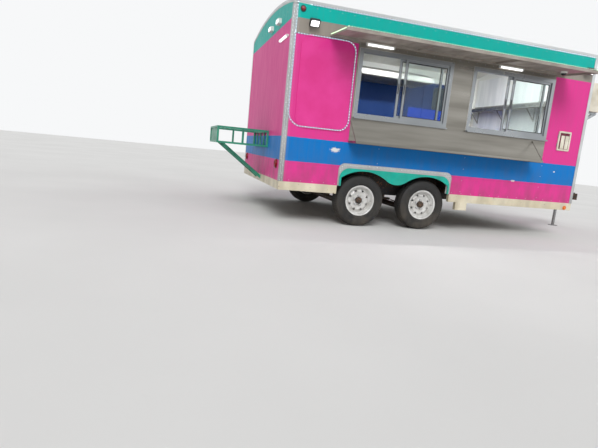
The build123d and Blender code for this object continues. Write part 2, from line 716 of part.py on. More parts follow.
def sash(start, outer_track):
    """One sliding sash's bars."""
    x0, x1, y0, y1 = sash_box(start, outer_track)
    low, high = WINDOW_SILL + WINDOW_FRAME, WINDOW_TOP - WINDOW_FRAME
    bars = block(x0, x1, y0, y1, low, high)
    return bars - block(x0 + SASH_BAR, x1 - SASH_BAR, y0, y1, low + SASH_BAR, high - SASH_BAR)


def pane(start, outer_track):
    """The glass of one sash."""
    x0, x1, y0, y1 = sash_box(start, outer_track)
    low, high = WINDOW_SILL + WINDOW_FRAME, WINDOW_TOP - WINDOW_FRAME
    middle = (y0 + y1) / 2
    return block(x0 + SASH_BAR, x1 - SASH_BAR, middle - GLASS / 2, middle + GLASS / 2,
                 low + SASH_BAR, high - SASH_BAR)


def service_shelf():
    """The long folded shelf below the windows, with a stay at each end up to the wall."""
    wall = -SHELF_BACK
    outer = wall - SHELF_DEPTH
    end = SHELF_START + SHELF_LENGTH
    bottom = SHELF_TOP - SHELF_LIP
    shelf = block(SHELF_START, end, outer, wall, bottom, SHELF_TOP)
    shelf -= block(SHELF_START + SHELF_SHEET, end - SHELF_SHEET, outer + SHELF_SHEET, wall,
                   bottom, SHELF_TOP - SHELF_SHEET)
    for face, way in ((SHELF_START, -1), (end, 1)):
        x = face + way * STAY_RADIUS
        near, far = sorted((face, face + 2 * way * STAY_RADIUS))
        top = SHELF_TOP + STAY_HEIGHT
        shelf += block(near, far, outer, outer + STAY_EYE, bottom, SHELF_TOP - SHELF_SHEET)
        shelf += block(near, far, wall - STAY_EYE, wall, top - STAY_EYE, top + STAY_EYE)
        foot, head = (x, outer + STAY_EYE / 2, SHELF_TOP - STAY_EYE), (x, wall - STAY_EYE / 2, top)
        shelf += rod(foot, head, STAY_RADIUS)
    return shelf


def canopy():
    """The fixed canopy: a folded panel on a wall rail, with ribs below and a turned-down edge."""
    rail_y = -HALF_WIDTH - CANOPY_RAIL
    end = CANOPY_START + CANOPY_LENGTH
    edge = -CANOPY_EDGE
    plane = Plane(origin=(CANOPY_START, 0, 0), x_dir=(0, 1, 0), z_dir=(1, 0, 0))
    high = CANOPY_HEIGHT - CANOPY_FALL
    outline = Polyline((rail_y, CANOPY_HEIGHT), (edge, high), (edge, high - CANOPY_LIP),
                       (edge + CANOPY_SHEET, high - CANOPY_LIP), (edge + CANOPY_SHEET, high - CANOPY_SHEET),
                       (rail_y, CANOPY_HEIGHT - CANOPY_SHEET), close=True)
    sheet = extrude(plane * make_face(outline.edges()), CANOPY_LENGTH)
    rib = Polyline((rail_y, CANOPY_HEIGHT - CANOPY_SHEET), (edge + CANOPY_SHEET, high - CANOPY_SHEET),
                   (edge + CANOPY_SHEET, high - CANOPY_LIP), (rail_y, CANOPY_HEIGHT - CANOPY_LIP), close=True)
    step = (CANOPY_LENGTH - CANOPY_SHEET) / (CANOPY_RIBS - 1)
    for number in range(CANOPY_RIBS):
        x = CANOPY_START + number * step
        place = Plane(origin=(x, 0, 0), x_dir=(0, 1, 0), z_dir=(1, 0, 0))
        sheet += extrude(place * make_face(rib.edges()), CANOPY_SHEET)
    rail = block(CANOPY_START, end, rail_y, -HALF_WIDTH, CANOPY_HEIGHT - CANOPY_LIP,
                 CANOPY_HEIGHT + CANOPY_RAIL_LIP)
    return sheet + rail


def tube_lamp(start):
    """One tube lamp under the canopy rail."""
    y = -HALF_WIDTH - CANOPY_RAIL / 2
    top = CANOPY_HEIGHT - CANOPY_LIP
    low = top - TUBE_LAMP_BASE
    base = block(start, start + TUBE_LAMP_LENGTH, y - TUBE_LAMP_RADIUS, y + TUBE_LAMP_RADIUS, low, top)
    return base + along(y, low - TUBE_LAMP_RADIUS / 2, TUBE_LAMP_RADIUS, start, start + TUBE_LAMP_LENGTH)


def menu_board():
    """The board beside the windows: a rounded sheet with a raised rim."""
    end, top = MENU_START + MENU_WIDTH, MENU_BOTTOM + MENU_HEIGHT
    outer = rounded(MENU_START, end, MENU_BOTTOM, top, MENU_CORNER)
    inner = rounded(MENU_START + MENU_RIM, end - MENU_RIM, MENU_BOTTOM + MENU_RIM, top - MENU_RIM,
                    MENU_CORNER - MENU_RIM)
    face = -HALF_WIDTH - MENU_SHEET
    return panel(outer, -HALF_WIDTH, face) + panel(outer - inner, face, face - MENU_SHEET)


def door_light():
    """The outline of the door's window hole and of the pane in it."""
    top = DECK_TOP + DOOR_HEIGHT - DOOR_GAP - DOOR_LIGHT_TOP
    return rounded(DOOR_START + DOOR_LIGHT_MARGIN, DOOR_START + DOOR_WIDTH - DOOR_LIGHT_MARGIN,
                   top - DOOR_LIGHT_HEIGHT, top, DOOR_LIGHT_CORNER)


def entry_door():
    """The door leaf with its window hole and three hinge knuckles."""
    x0, x1 = DOOR_START + DOOR_GAP, DOOR_START + DOOR_WIDTH - DOOR_GAP
    z0, z1 = DECK_TOP + DOOR_GAP, DECK_TOP + DOOR_HEIGHT - DOOR_GAP
    y0 = HALF_WIDTH - DOOR_THICKNESS
    leaf = block(x0, x1, y0, HALF_WIDTH, z0, z1) - panel(door_light(), y0, HALF_WIDTH)
    pin_x = DOOR_START + DOOR_WIDTH - DOOR_GAP / 2
    pin_y = HALF_WIDTH + DOOR_HINGE_OFFSET
    for share in DOOR_HINGE_PLACES:
        z = z0 + share * (z1 - z0)
        low, high = z - DOOR_HINGE_LENGTH / 2, z + DOOR_HINGE_LENGTH / 2
        leaf += upright(pin_x, pin_y, DOOR_HINGE_RADIUS, low, high)
        leaf += block(pin_x - DOOR_HINGE_PLATE, pin_x, HALF_WIDTH, HALF_WIDTH + DOOR_HINGE_LEAF, low, high)
        leaf += block(pin_x - DOOR_HINGE_RADIUS, pin_x, HALF_WIDTH, pin_y, low, high)
    return leaf


def door_glass():
    """The pane in the door's window hole."""
    middle = HALF_WIDTH - DOOR_THICKNESS / 2
    return panel(door_light(), middle - GLASS / 2, middle + GLASS / 2)


def door_handle():
    """The lever handle on its plate, near the door's rear edge."""
    x, z = DOOR_START + HANDLE_SETBACK, DECK_TOP + HANDLE_HEIGHT
    face = HALF_WIDTH + HANDLE_PLATE
    wide, tall = HANDLE_PLATE_WIDTH / 2, HANDLE_PLATE_HEIGHT / 2
    plate = panel(rounded(x - wide, x + wide, z - tall, z + tall, HANDLE_PLATE_CORNER), HALF_WIDTH, face)
    stem = across(x, z, HANDLE_STEM_RADIUS, face, HANDLE_EDGE)
    lever = strap_outline((x, z), (x + HANDLE_LEVER, z), HANDLE_ROOT_RADIUS, HANDLE_TIP_RADIUS)
    return plate + stem + panel(lever, HANDLE_EDGE - HANDLE_LEVER_SHEET, HANDLE_EDGE)


def rear_rack():
    """The railed rack on the rear wall: two square-tube rings with posts, bars by the wall,
    a sheet that closes the far end, and a slatted floor."""
    y0, y1 = RACK_CENTRE - RACK_WIDTH / 2, RACK_CENTRE + RACK_WIDTH / 2
    half = RACK_TUBE / 2
    low, high = RACK_BOTTOM + half, RACK_BOTTOM + RACK_HEIGHT - half
    outer, inner = -RACK_LENGTH + half, -half
    rack = None
    for z in (low, high):
        ring = block(-RACK_LENGTH, 0, y0, y1, z - half, z + half)
        ring -= block(-RACK_LENGTH + RACK_TUBE, -RACK_TUBE, y0 + RACK_TUBE, y1 - RACK_TUBE, z - half, z + half)
        rack = ring if rack is None else rack + ring
    step = (RACK_WIDTH - RACK_TUBE) / (RACK_BARS - 1)
    for number in range(RACK_BARS):
        y = y0 + half + number * step
        size = half if number in (0, RACK_BARS - 1) else RACK_BAR / 2
        rack += block(inner - size, inner + size, y - size, y + size, low, high)
    rack += block(outer - RACK_PANEL / 2, outer + RACK_PANEL / 2, y0, y1, low, high)
    for x in (outer, (outer + inner) / 2):
        for y in (y0 + half, y1 - half):
            rack += block(x - half, x + half, y - half, y + half, low, high)
    slat_step = (RACK_LENGTH - 2 * RACK_TUBE) / (RACK_SLATS + 1)
    for number in range(RACK_SLATS):
        x = -RACK_LENGTH + RACK_TUBE + (number + 1) * slat_step
        rack += block(x - RACK_SLAT_WIDTH / 2, x + RACK_SLAT_WIDTH / 2, y0 + RACK_TUBE, y1 - RACK_TUBE,
                      RACK_BOTTOM, RACK_BOTTOM + RACK_SLAT_SHEET)
    return rack


def rack_brace(side):
    """One brace from under the rack to the rail at the foot of the rear wall."""
    y = RACK_CENTRE + side * RACK_BRACE_OFFSET
    half = RACK_BRACE_TUBE / 2
    start, foot = (-RACK_BRACE_START, y, RACK_BOTTOM), (0, y, RACK_BRACE_FOOT)
    reach = Vector(*foot) - Vector(*start)
    extra = reach.normalized() * RACK_BRACE_TUBE
    bar = strut(Vector(*start) - extra, Vector(*foot) + extra, RACK_BRACE_TUBE, RACK_BRACE_TUBE)
    return bar & block(-RACK_LENGTH, 0, y - half, y + half, 0, RACK_BOTTOM)


def tail_lamp(side):
    """A round tail lamp in its ring, on the rear wall."""
    y = side * (HALF_WIDTH - TAIL_LAMP_INSET)
    ring = along(y, TAIL_LAMP_HEIGHT, TAIL_LAMP_RADIUS + TAIL_LAMP_RING, -TAIL_LAMP_SHEET, 0)
    return ring + along(y, TAIL_LAMP_HEIGHT, TAIL_LAMP_RADIUS, -2 * TAIL_LAMP_SHEET, -TAIL_LAMP_SHEET)


def side_marker(side):
    """A small round marker lamp in its ring, low on the rail near the front."""
    x, z = BODY_LENGTH - MARKER_SETBACK, FRAME_BOTTOM + MARKER_RISE
    face = side * (HALF_WIDTH + MARKER_SHEET)
    ring = across(x, z, MARKER_RADIUS, side * HALF_WIDTH, face)
    return ring + across(x, z, MARKER_LENS, face, side * (HALF_WIDTH + MARKER_REACH))


def flood_lamp(x):
    """A small flood lamp on a stem, pointing down at the serving side."""
    y, z = -HALF_WIDTH - FLOOD_REACH, FLOOD_HEIGHT + FLOOD_RISE
    stem = block(x - FLOOD_STEM / 2, x + FLOOD_STEM / 2, y, -HALF_WIDTH, z, z + FLOOD_STEM)
    return stem + Pos(x, y, z) * Rot(FLOOD_TILT, 0, 0) * Box(*FLOOD_SIZE)


def rear_lamp(inset):
    """A flat box lamp high on the rear wall."""
    depth, width, height = REAR_LAMP_SIZE
    y = inset - HALF_WIDTH
    case = block(-depth, 0, y - width / 2, y + width / 2, REAR_LAMP_HEIGHT - height / 2,
                 REAR_LAMP_HEIGHT + height / 2)
    return fillet(case.edges().filter_by(Axis.X), REAR_LAMP_CORNER)


def rear_tube_lamp():
    """The tube lamp across the serving corner of the rear wall."""
    y0 = REAR_TUBE_INSET - HALF_WIDTH
    y1 = y0 + REAR_TUBE_LENGTH
    x = -TUBE_LAMP_BASE - TUBE_LAMP_RADIUS / 2
    base = block(-TUBE_LAMP_BASE, 0, y0, y1, REAR_TUBE_HEIGHT - TUBE_LAMP_RADIUS,
                 REAR_TUBE_HEIGHT + TUBE_LAMP_RADIUS)
    return base + across(x, REAR_TUBE_HEIGHT, TUBE_LAMP_RADIUS, y0, y1)


def cooler():
    """The air conditioner's case on the front wall, with its round grille."""
    y0, y1 = COOLER_CENTRE - COOLER_WIDTH / 2, COOLER_CENTRE + COOLER_WIDTH / 2
    front = BODY_LENGTH + COOLER_REACH
    case = block(BODY_LENGTH, front, y0, y1, COOLER_BOTTOM, COOLER_BOTTOM + COOLER_HEIGHT)
    case = fillet(case.edges().filter_by(Axis.Y).sort_by(Axis.X)[-2:], COOLER_CORNER)
    z = COOLER_BOTTOM + COOLER_HEIGHT / 2
    well = along(COOLER_CENTRE, z, COOLER_GRILLE, front - COOLER_WELL, front)
    hub = along(COOLER_CENTRE, z, COOLER_HUB, front - COOLER_WELL, front - COOLER_HUB_SET)
    return case - well + hub


def cooler_bracket():
    """The two welded arms under the air conditioner, and the bar that ties them."""
    y0, y1 = COOLER_CENTRE - COOLER_WIDTH / 2, COOLER_CENTRE + COOLER_WIDTH / 2
    wall, tip = BODY_LENGTH, BODY_LENGTH + COOLER_REACH
    foot = COOLER_BOTTOM - COOLER_BRACE
    outline = Polyline((wall, COOLER_BOTTOM), (tip, COOLER_BOTTOM), (tip, COOLER_BOTTOM - BRACKET_BAR),
                       (wall + BRACKET_BAR, foot), (wall, foot), close=True)
    hole = Polyline((wall + BRACKET_BAR, COOLER_BOTTOM - BRACKET_BAR),
                    (tip - 2.5 * BRACKET_BAR, COOLER_BOTTOM - BRACKET_BAR),
                    (wall + BRACKET_BAR, foot + 1.5 * BRACKET_BAR), close=True)
    side = make_face(outline.edges()) - make_face(hole.edges())
    tie = block(wall, wall + BRACKET_BAR / 2, y0 + 2 * BRACKET_BAR, y1 - 2 * BRACKET_BAR,
                COOLER_BOTTOM - 2 * BRACKET_BAR, COOLER_BOTTOM - BRACKET_BAR)
    return (panel(side, y0 + 2 * BRACKET_BAR, y0 + 3 * BRACKET_BAR)
            + panel(side, y1 - 3 * BRACKET_BAR, y1 - 2 * BRACKET_BAR) + tie)


def roof_vent():
    """The exhaust vent: a curb that follows the roof, a throat and a coned rain cap."""
    top = EAVE_HEIGHT + ROOF_CROWN + VENT_RISE
    curb = upright(VENT_X, VENT_Y, VENT_RADIUS, EAVE_HEIGHT, EAVE_HEIGHT + ROOF_CROWN)
    throat = upright(VENT_X, VENT_Y, VENT_THROAT, EAVE_HEIGHT, top)
    dome = make_face(Polyline((0, 0), (VENT_CAP_RADIUS, 0), (VENT_CAP_RADIUS, VENT_SHEET),
                              (VENT_THROAT, VENT_CAP_HEIGHT), (0, VENT_CAP_HEIGHT), close=True).edges())
    cap = Pos(VENT_X, VENT_Y, top - VENT_SHEET) * revolve(Plane.XZ * dome, Axis.Z, 360)
    return curb + throat + cap - house(0, BODY_LENGTH, RAIL_TOP)


def hatch():
    """The small service hatch: a flanged frame round a lid."""
    x0 = BODY_LENGTH - HATCH_SETBACK - HATCH_WIDTH / 2
    x1 = x0 + HATCH_WIDTH
    z0, z1 = HATCH_MIDDLE - HATCH_HEIGHT / 2, HATCH_MIDDLE + HATCH_HEIGHT / 2
    face = -HALF_WIDTH - HATCH_DEPTH
    outer = panel(rounded(x0, x1, z0, z1, HATCH_DEPTH), -HALF_WIDTH, face)
    lid = rounded(x0 + HATCH_RIM, x1 - HATCH_RIM, z0 + HATCH_RIM, z1 - HATCH_RIM, HATCH_DEPTH / 2)
    return outer - panel(lid, -HALF_WIDTH - HATCH_DEPTH / 2, face)


def counter():
    """The inside counter under the windows: a top, a lower shelf and legs."""
    y0, y1 = -INNER_WALL, -INNER_WALL + COUNTER_DEPTH
    under = COUNTER_TOP - COUNTER_SHEET
    unit = block(COUNTER_START, COUNTER_END, y0, y1, under, COUNTER_TOP)
    unit += block(COUNTER_START, COUNTER_END, y0, y1, COUNTER_SHELF, COUNTER_SHELF + COUNTER_SHELF_SHEET)
    for x in COUNTER_LEGS:
        for y in (y0, y1 - COUNTER_LEG):
            beside_well = y > -WELL_INNER or x > FENDER_END
            foot = DECK_TOP if beside_well else FENDER_TOP + WELL_SHEET
            unit += block(x, x + COUNTER_LEG, y, y + COUNTER_LEG, foot, under)
    return unit


def cook_line():
    """The cooking range over the road side's wheel box: griddle, fryer tank and front legs."""
    x0, x1 = COOK_START, COOK_START + COOK_LENGTH
    y0, y1 = INNER_WALL - COOK_DEPTH, INNER_WALL
    low = FENDER_TOP + WELL_SHEET
    unit = block(x0, x1, y0, y1, low, COOK_TOP)
    unit -= block(x0 + COOK_RIM, x0 + COOK_RIM + GRIDDLE_LENGTH, y0 + COOK_RIM, y1 - COOK_RIM,
                  COOK_TOP - GRIDDLE_DEPTH, COOK_TOP)
    unit -= block(x1 - COOK_RIM - FRYER_LENGTH, x1 - COOK_RIM, y0 + COOK_RIM, y1 - COOK_RIM,
                  COOK_TOP - FRYER_DEPTH, COOK_TOP)
    for x in (x0, (x0 + x1 - COOK_LEG) / 2, x1 - COOK_LEG):
        unit += block(x, x + COOK_LEG, y0, y0 + COOK_LEG, DECK_TOP, low)
    return unit


def hood():
    """The extractor hood over the range, with its duct up to the ceiling."""
    x0 = COOK_START - HOOD_OVERHANG
    y0, y1 = INNER_WALL - COOK_DEPTH - HOOD_FRONT, INNER_WALL
    top = HOOD_BOTTOM + HOOD_HEIGHT
    outline = Polyline((y0, HOOD_BOTTOM), (y1, HOOD_BOTTOM), (y1, top), (y1 - HOOD_SHOULDER, top),
                       (y0, HOOD_BOTTOM + HOOD_LIP), close=True)
    plane = Plane(origin=(x0, 0, 0), x_dir=(0, 1, 0), z_dir=(1, 0, 0))
    canopy_shape = extrude(plane * make_face(outline.edges()), COOK_LENGTH + 2 * HOOD_OVERHANG)
    duct = upright(VENT_X, y1 - HOOD_SHOULDER / 2, VENT_THROAT, top - VENT_SHEET, EAVE_HEIGHT + ROOF_CROWN)
    return canopy_shape + (duct & house(0, BODY_LENGTH, RAIL_TOP, ROOF_THICKNESS))


def axle(x):
    """One drop axle: the tube, its two drop arms, spindles, spring seats and brake backing plates."""
    arm_out = WHEEL_INNER - BACKING_PLATE - BRAKE_GAP
    arm_in = arm_out - DROP_ARM_WIDTH
    body = across(x, AXLE_HEIGHT, AXLE_TUBE_RADIUS, -arm_out, arm_out)
    arm = strap_outline((x, AXLE_HEIGHT), (x, TYRE_RADIUS), DROP_ARM_ROUND, SPINDLE_BOSS)
    for side in SIDES.values():
        inner, outer = side * arm_in, side * arm_out
        body += panel(arm, inner, outer)
        plate_out = side * (WHEEL_INNER - BRAKE_GAP)
        body += across(x, TYRE_RADIUS, DRUM_RADIUS + 4, outer, plate_out)
        body += across(x, TYRE_RADIUS, SPINDLE_RADIUS, outer, side * (WHEEL_MIDDLE - 10))
        seat = side * BEAM_OFFSET
        body += block(x - SEAT_LENGTH / 2, x + SEAT_LENGTH / 2, seat - SEAT_WIDTH / 2, seat + SEAT_WIDTH / 2,
                      AXLE_HEIGHT + AXLE_TUBE_RADIUS / 2, SPRING_SEAT)
    return body


def leaf_spring(x, y):
    """One pack of leaves on the axle's seat, each longer than the one below it, with rolled eyes."""
    low, high = y - SPRING_WIDTH / 2, y + SPRING_WIDTH / 2
    radius = (SPRING_HALF_LENGTH ** 2 + SPRING_CAMBER ** 2) / (2 * SPRING_CAMBER)
    centre_z = EYE_HEIGHT - SPRING_CAMBER + radius
    pack = None
    for number in range(SPRING_LEAVES):
        half = SPRING_HALF_LENGTH * (1 - LEAF_SHORTENING * number)
        angle = math.asin(half / radius)
        inner = radius + (number - 0.5) * SPRING_LEAF
        outer = inner + SPRING_LEAF

        def at(r, share):
            return (x + r * math.sin(angle * share), centre_z - r * math.cos(angle * share))

        leaf = make_face([
            ThreePointArc(at(outer, -1), at(outer, 0), at(outer, 1)), Line(at(outer, 1), at(inner, 1)),
            ThreePointArc(at(inner, 1), at(inner, 0), at(inner, -1)), Line(at(inner, -1), at(outer, -1)),
        ])
        leaf = panel(leaf, low, high)
        pack = leaf if pack is None else pack + leaf
    for end in (-1, 1):
        pack += across(x + end * SPRING_HALF_LENGTH, EYE_HEIGHT, SPRING_EYE_RADIUS, low, high)
    return pack


def spring_clamp(x, y):
    """The plate over a spring and its two U-bolts, whose legs end at the axle's seat."""
    top = SPRING_SEAT + SPRING_LEAVES * SPRING_LEAF
    clamp = block(x - SEAT_LENGTH / 2, x + SEAT_LENGTH / 2, y - SEAT_WIDTH / 2, y + SEAT_WIDTH / 2,
                  top, top + CLAMP_PLATE)
    for dx in (-U_BOLT_SPREAD, U_BOLT_SPREAD):
        for dy in (-1, 1):
            leg = dy * (SPRING_WIDTH / 2 + U_BOLT_RADIUS)
            clamp += upright(x + dx, y + leg, U_BOLT_RADIUS, SPRING_SEAT, top + 2 * CLAMP_PLATE)
    return clamp


def hanger_plates(x, y, outline):
    """A pair of hanger plates, one each side of a spring."""
    inner = SPRING_WIDTH / 2
    plates = panel(outline, y - inner - HANGER_SHEET, y - inner)
    return plates + panel(outline, y + inner, y + inner + HANGER_SHEET)


def hanger_outline(x, z):
    """A hanger plate in x and z: a wide foot on the beam that narrows to a round end at its bolt."""
    plate = strap_outline((x, z), (x, FRAME_BOTTOM), HANGER_ROUND, HANGER_FOOT / 2)
    return plate & Pos(x, FRAME_BOTTOM - HANGER_FOOT) * Rectangle(2 * HANGER_FOOT, 2 * HANGER_FOOT)


def equaliser(y):
    """The rocker that shares the load between the two springs, on its bolt in the centre hanger."""
    x, pivot = AXLE_GROUP_X, FRAME_BOTTOM - EQUALISER_DROP
    rear_eye = AXLE_PLACES["rear"] + SPRING_HALF_LENGTH
    front_eye = AXLE_PLACES["front"] - SPRING_HALF_LENGTH
    low, high = y - EQUALISER_WIDTH / 2, y + EQUALISER_WIDTH / 2
    gear = hanger_plates(x, y, hanger_outline(x, pivot))
    gear += across(x, pivot, SPRING_EYE_RADIUS / 2, y - SPRING_WIDTH / 2, y + SPRING_WIDTH / 2)
    for way, eye in ((-1, rear_eye), (1, front_eye)):
        tip = (x + way * EQUALISER_HALF, EYE_HEIGHT)
        gear += panel(strap_outline((x, pivot), tip, EQUALISER_ROUND, EQUALISER_ROUND), low, high)
        gear += across(tip[0], tip[1], SPRING_EYE_RADIUS / 2, y - SPRING_WIDTH / 2, y + SPRING_WIDTH / 2)
        link = strap_outline(tip, (eye, EYE_HEIGHT), SHACKLE_ROUND, SHACKLE_ROUND)
        gear += hanger_plates(x, y, link)
    return gear


def suspension(side):
    """The springs of one side with their clamps, hangers, shackle links and centre equaliser."""
    y = side * BEAM_OFFSET
    gear = equaliser(y)
    for x in AXLE_PLACES.values():
        gear += leaf_spring(x, y)
        gear += spring_clamp(x, y)
    for x in (AXLE_PLACES["rear"] - SPRING_HALF_LENGTH, AXLE_PLACES["front"] + SPRING_HALF_LENGTH):
        gear += hanger_plates(x, y, hanger_outline(x, EYE_HEIGHT))
    return gear


def tyre_profile():
    """Half-section of a tyre: radius across, width up. Beads, bulging sidewalls, crowned tread."""
    half = TYRE_WIDTH / 2
    bead = RIM_RADIUS - BEAD_LAP
    # radius and half width of the outer skin, from the bead to the middle of the tread
    skin = [(bead, half - 24), (RIM_RADIUS + 22, half - 5), (RIM_RADIUS + 62, half),
            (TYRE_RADIUS - 40, half - 5), (TYRE_RADIUS - 14, half - 18), (TYRE_RADIUS, half - 50)]
    lining = [(TYRE_RADIUS - TYRE_SKIN, half - 50), (TYRE_RADIUS - 52, half - 18),
              (RIM_RADIUS + 62, half - TYRE_SKIN), (bead, half - 24 - TYRE_SKIN)]
    outside = skin + [(r, -w) for r, w in reversed(skin)]
    inside = [(r, -w) for r, w in reversed(lining)] + lining
    return make_face(Polyline(*outside, *inside, close=True).edges())


def rim_profile():
    """Half-section of the rim's barrel, with its flanges, bead seats and well."""
    half = TYRE_WIDTH / 2
    # radius, width of the outer surface, from the outer flange to the inner one
    outer = [(RIM_RADIUS, half - 13), (RIM_RADIUS - 12, half - 18), (RIM_RADIUS - 15, half - 40),
             (RIM_RADIUS - 32, half - 62)]
    path = outer + [(r, -w) for r, w in reversed(outer)]
    inner = [(r - RIM_SHEET, w) for r, w in reversed(path)]
    return make_face(Polyline(*path, *inner, close=True).edges())


def disc_profile():
    """Half-section of the dished wheel disc, hub and brake drum."""
    reach = RIM_RADIUS - 32 - RIM_SHEET
    face, crest = DISC_FACE, DISC_FACE + DISC_CREST
    drum = WHEEL_INNER - WHEEL_MIDDLE
    outline = Polyline(
        (SPINDLE_RADIUS + SPINDLE_CLEARANCE, drum), (DRUM_RADIUS, drum), (DRUM_RADIUS, drum + DRUM_WIDTH),
        (HUB_RADIUS + 34, drum + DRUM_WIDTH + 12), (HUB_RADIUS + 34, face - RIM_SHEET),
        (112, crest - RIM_SHEET), (reach - 12, face - 8), (reach, face - 8), (reach, face - 2),
        (reach - 8, face - 2), (114, crest), (HUB_RADIUS + 30, face), (HUB_RADIUS - 6, face),
        (HUB_RADIUS - 12, face + 44), (0, face + 44), (0, 0), (SPINDLE_RADIUS + SPINDLE_CLEARANCE, 0),
        close=True)
    return make_face(outline.edges())


def wheel():
    """A pressed steel wheel with its hub and drum, about z, outer side up."""
    turned = revolve(Plane.XZ * rim_profile(), Axis.Z, 360) + revolve(Plane.XZ * disc_profile(), Axis.Z, 360)
    narrow, wide = VENT_HOLE_NARROW / 2, VENT_HOLE_WIDE / 2
    hole = Polyline((VENT_HOLE_START, -narrow), (VENT_HOLE_START, narrow), (VENT_HOLE_END, wide),
                    (VENT_HOLE_END, -wide), close=True)
    cutter = extrude(Plane.XY * make_face(hole.edges()), TYRE_WIDTH)
    for number in range(RIM_VENTS):
        turned -= Rot(0, 0, (number + 0.5) * 360 / RIM_VENTS) * cutter
    for number in range(WHEEL_LUGS):
        turned += Rot(0, 0, number * 360 / WHEEL_LUGS) * Pos(HUB_RADIUS + LUG_INSET, 0, DISC_FACE) * Cylinder(
            LUG_RADIUS, LUG_HEIGHT, align=(Align.CENTER, Align.CENTER, Align.MIN))
    return turned


def place_wheel(shape, x, side):
    """Stands a wheel or tyre on its axle, outer side away from the centreline."""
    return Pos(x, side * WHEEL_MIDDLE, TYRE_RADIUS) * Rot(-90 * side, 0, 0) * shape


def build():
    keep("chassis_frame", *[main_beam(side) for side in SIDES.values()])
    keep("crossmembers", *crossmembers())
    keep("tongue_frame", tongue_frame())
    keep("coupler", coupler())
    keep("tongue_jack", tongue_jack())
    keep("skirt_rail", *skirt_rail().solids())
    keep("floor_deck", floor_deck())
    windows = [(start, start + WINDOW_WIDTH, WINDOW_SILL, WINDOW_TOP) for start in WINDOW_STARTS]
    keep("wall_service", side_wall(SIDES["right"], windows))
    doorway = (DOOR_START, DOOR_START + DOOR_WIDTH, DECK_TOP, DECK_TOP + DOOR_HEIGHT)
    keep("wall_road", side_wall(SIDES["left"], [doorway]))
    keep("wall_rear", end_wall(0, WALL))
    keep("wall_front", end_wall(BODY_LENGTH - WALL, BODY_LENGTH))
    keep("roof", roof())
    keep("corner_caps_rear", *[corner_cap(0, 1, side, REAR_TRIM_LEG) for side in SIDES.values()])
    keep("corner_caps_front", *[corner_cap(BODY_LENGTH, -1, side, FRONT_TRIM_LEG) for side in SIDES.values()])
    keep("roof_edge_trim", roof_edge_trim())
    keep("roof_vent", roof_vent())
    keep("window_surround", window_surround())
    keep("window_frames", *[window_frame(start) for start in WINDOW_STARTS])
    keep("window_sashes", *[sash(start, outer) for start in WINDOW_STARTS for outer in (True, False)])
    keep("window_glass", *[pane(start, outer) for start in WINDOW_STARTS for outer in (True, False)])
    keep("service_shelf", service_shelf())
    keep("canopy", canopy())
    keep("tube_lamps", *[tube_lamp(start) for start in TUBE_LAMP_STARTS], rear_tube_lamp())
    keep("menu_board", menu_board())
    for name, side in SIDES.items():
        keep(f"fender_panel_{name}", fender_panel(side))
        keep(f"fender_skirt_{name}", fender_skirt(side))
        keep(f"wheel_well_{name}", wheel_well(side))
        keep(f"suspension_{name}", suspension(side))
    keep("entry_door", entry_door())
    keep("door_glass", door_glass())
    keep("door_handle", door_handle())
    keep("rear_rack", rear_rack())
    keep("rack_braces", *[rack_brace(side) for side in SIDES.values()])
    keep("tail_lamps", *[tail_lamp(side) for side in SIDES.values()])
    keep("side_markers", *[side_marker(side) for side in SIDES.values()])
    keep("flood_lamps", *[flood_lamp(x) for x in FLOOD_POSITIONS])
    keep("rear_lamps", *[rear_lamp(inset) for inset in REAR_LAMP_INSETS])
    keep("cooler", cooler())
    keep("cooler_bracket", cooler_bracket())
    keep("service_hatch", hatch())
    keep("counter", counter())
    keep("cook_line", cook_line())
    keep("hood", hood())
    tyre = revolve(Plane.XZ * tyre_profile(), Axis.Z, 360)
    disc = wheel()
    for place, x in AXLE_PLACES.items():
        keep(f"axle_{place}", axle(x))
        for name, side in SIDES.items():
            keep(f"tyre_{place}_{name}", place_wheel(tyre, x, side))
            keep(f"wheel_{place}_{name}", place_wheel(disc, x, side))


build()
os.makedirs("parts", exist_ok=True)
for node, shape in PARTS.items():
    export_step(Pos(-ORIGIN_X, -ORIGIN_Y, 0) * shape, f"parts/{node}.step")
print(len(PARTS), "nodes; origin at", ORIGIN_X, ORIGIN_Y)
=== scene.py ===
import json
import math

import bmesh
import bpy
from mathutils import Matrix, Vector


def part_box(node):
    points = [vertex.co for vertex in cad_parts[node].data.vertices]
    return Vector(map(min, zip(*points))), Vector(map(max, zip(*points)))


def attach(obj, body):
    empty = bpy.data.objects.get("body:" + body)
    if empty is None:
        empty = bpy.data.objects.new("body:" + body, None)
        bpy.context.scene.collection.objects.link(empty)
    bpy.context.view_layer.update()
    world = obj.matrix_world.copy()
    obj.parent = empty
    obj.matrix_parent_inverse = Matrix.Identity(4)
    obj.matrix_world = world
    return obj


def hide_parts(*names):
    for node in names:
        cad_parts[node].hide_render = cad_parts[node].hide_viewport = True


# Finishes and small pieces of the concession trailer. Metres, in the frame of the solids.
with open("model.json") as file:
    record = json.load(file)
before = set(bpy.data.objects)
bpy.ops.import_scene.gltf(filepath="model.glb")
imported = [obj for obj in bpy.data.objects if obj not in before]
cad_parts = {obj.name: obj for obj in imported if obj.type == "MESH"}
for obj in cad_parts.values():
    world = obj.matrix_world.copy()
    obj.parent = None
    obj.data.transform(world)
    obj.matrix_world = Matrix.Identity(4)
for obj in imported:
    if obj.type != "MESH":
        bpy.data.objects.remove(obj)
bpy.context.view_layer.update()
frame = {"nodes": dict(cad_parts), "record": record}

# Faces of the body, read from the solids
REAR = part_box("wall_rear")[0].x
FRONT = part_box("wall_front")[1].x
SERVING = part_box("wall_service")[0].y
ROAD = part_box("wall_road")[1].y
MIDDLE = (SERVING + ROAD) / 2
HALF_WIDTH = (ROAD - SERVING) / 2
LENGTH = FRONT - REAR
RAIL_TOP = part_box("wall_rear")[0].z
WHEELS = [f"{end}_{side}" for end in ("rear", "front") for side in ("right", "left")]
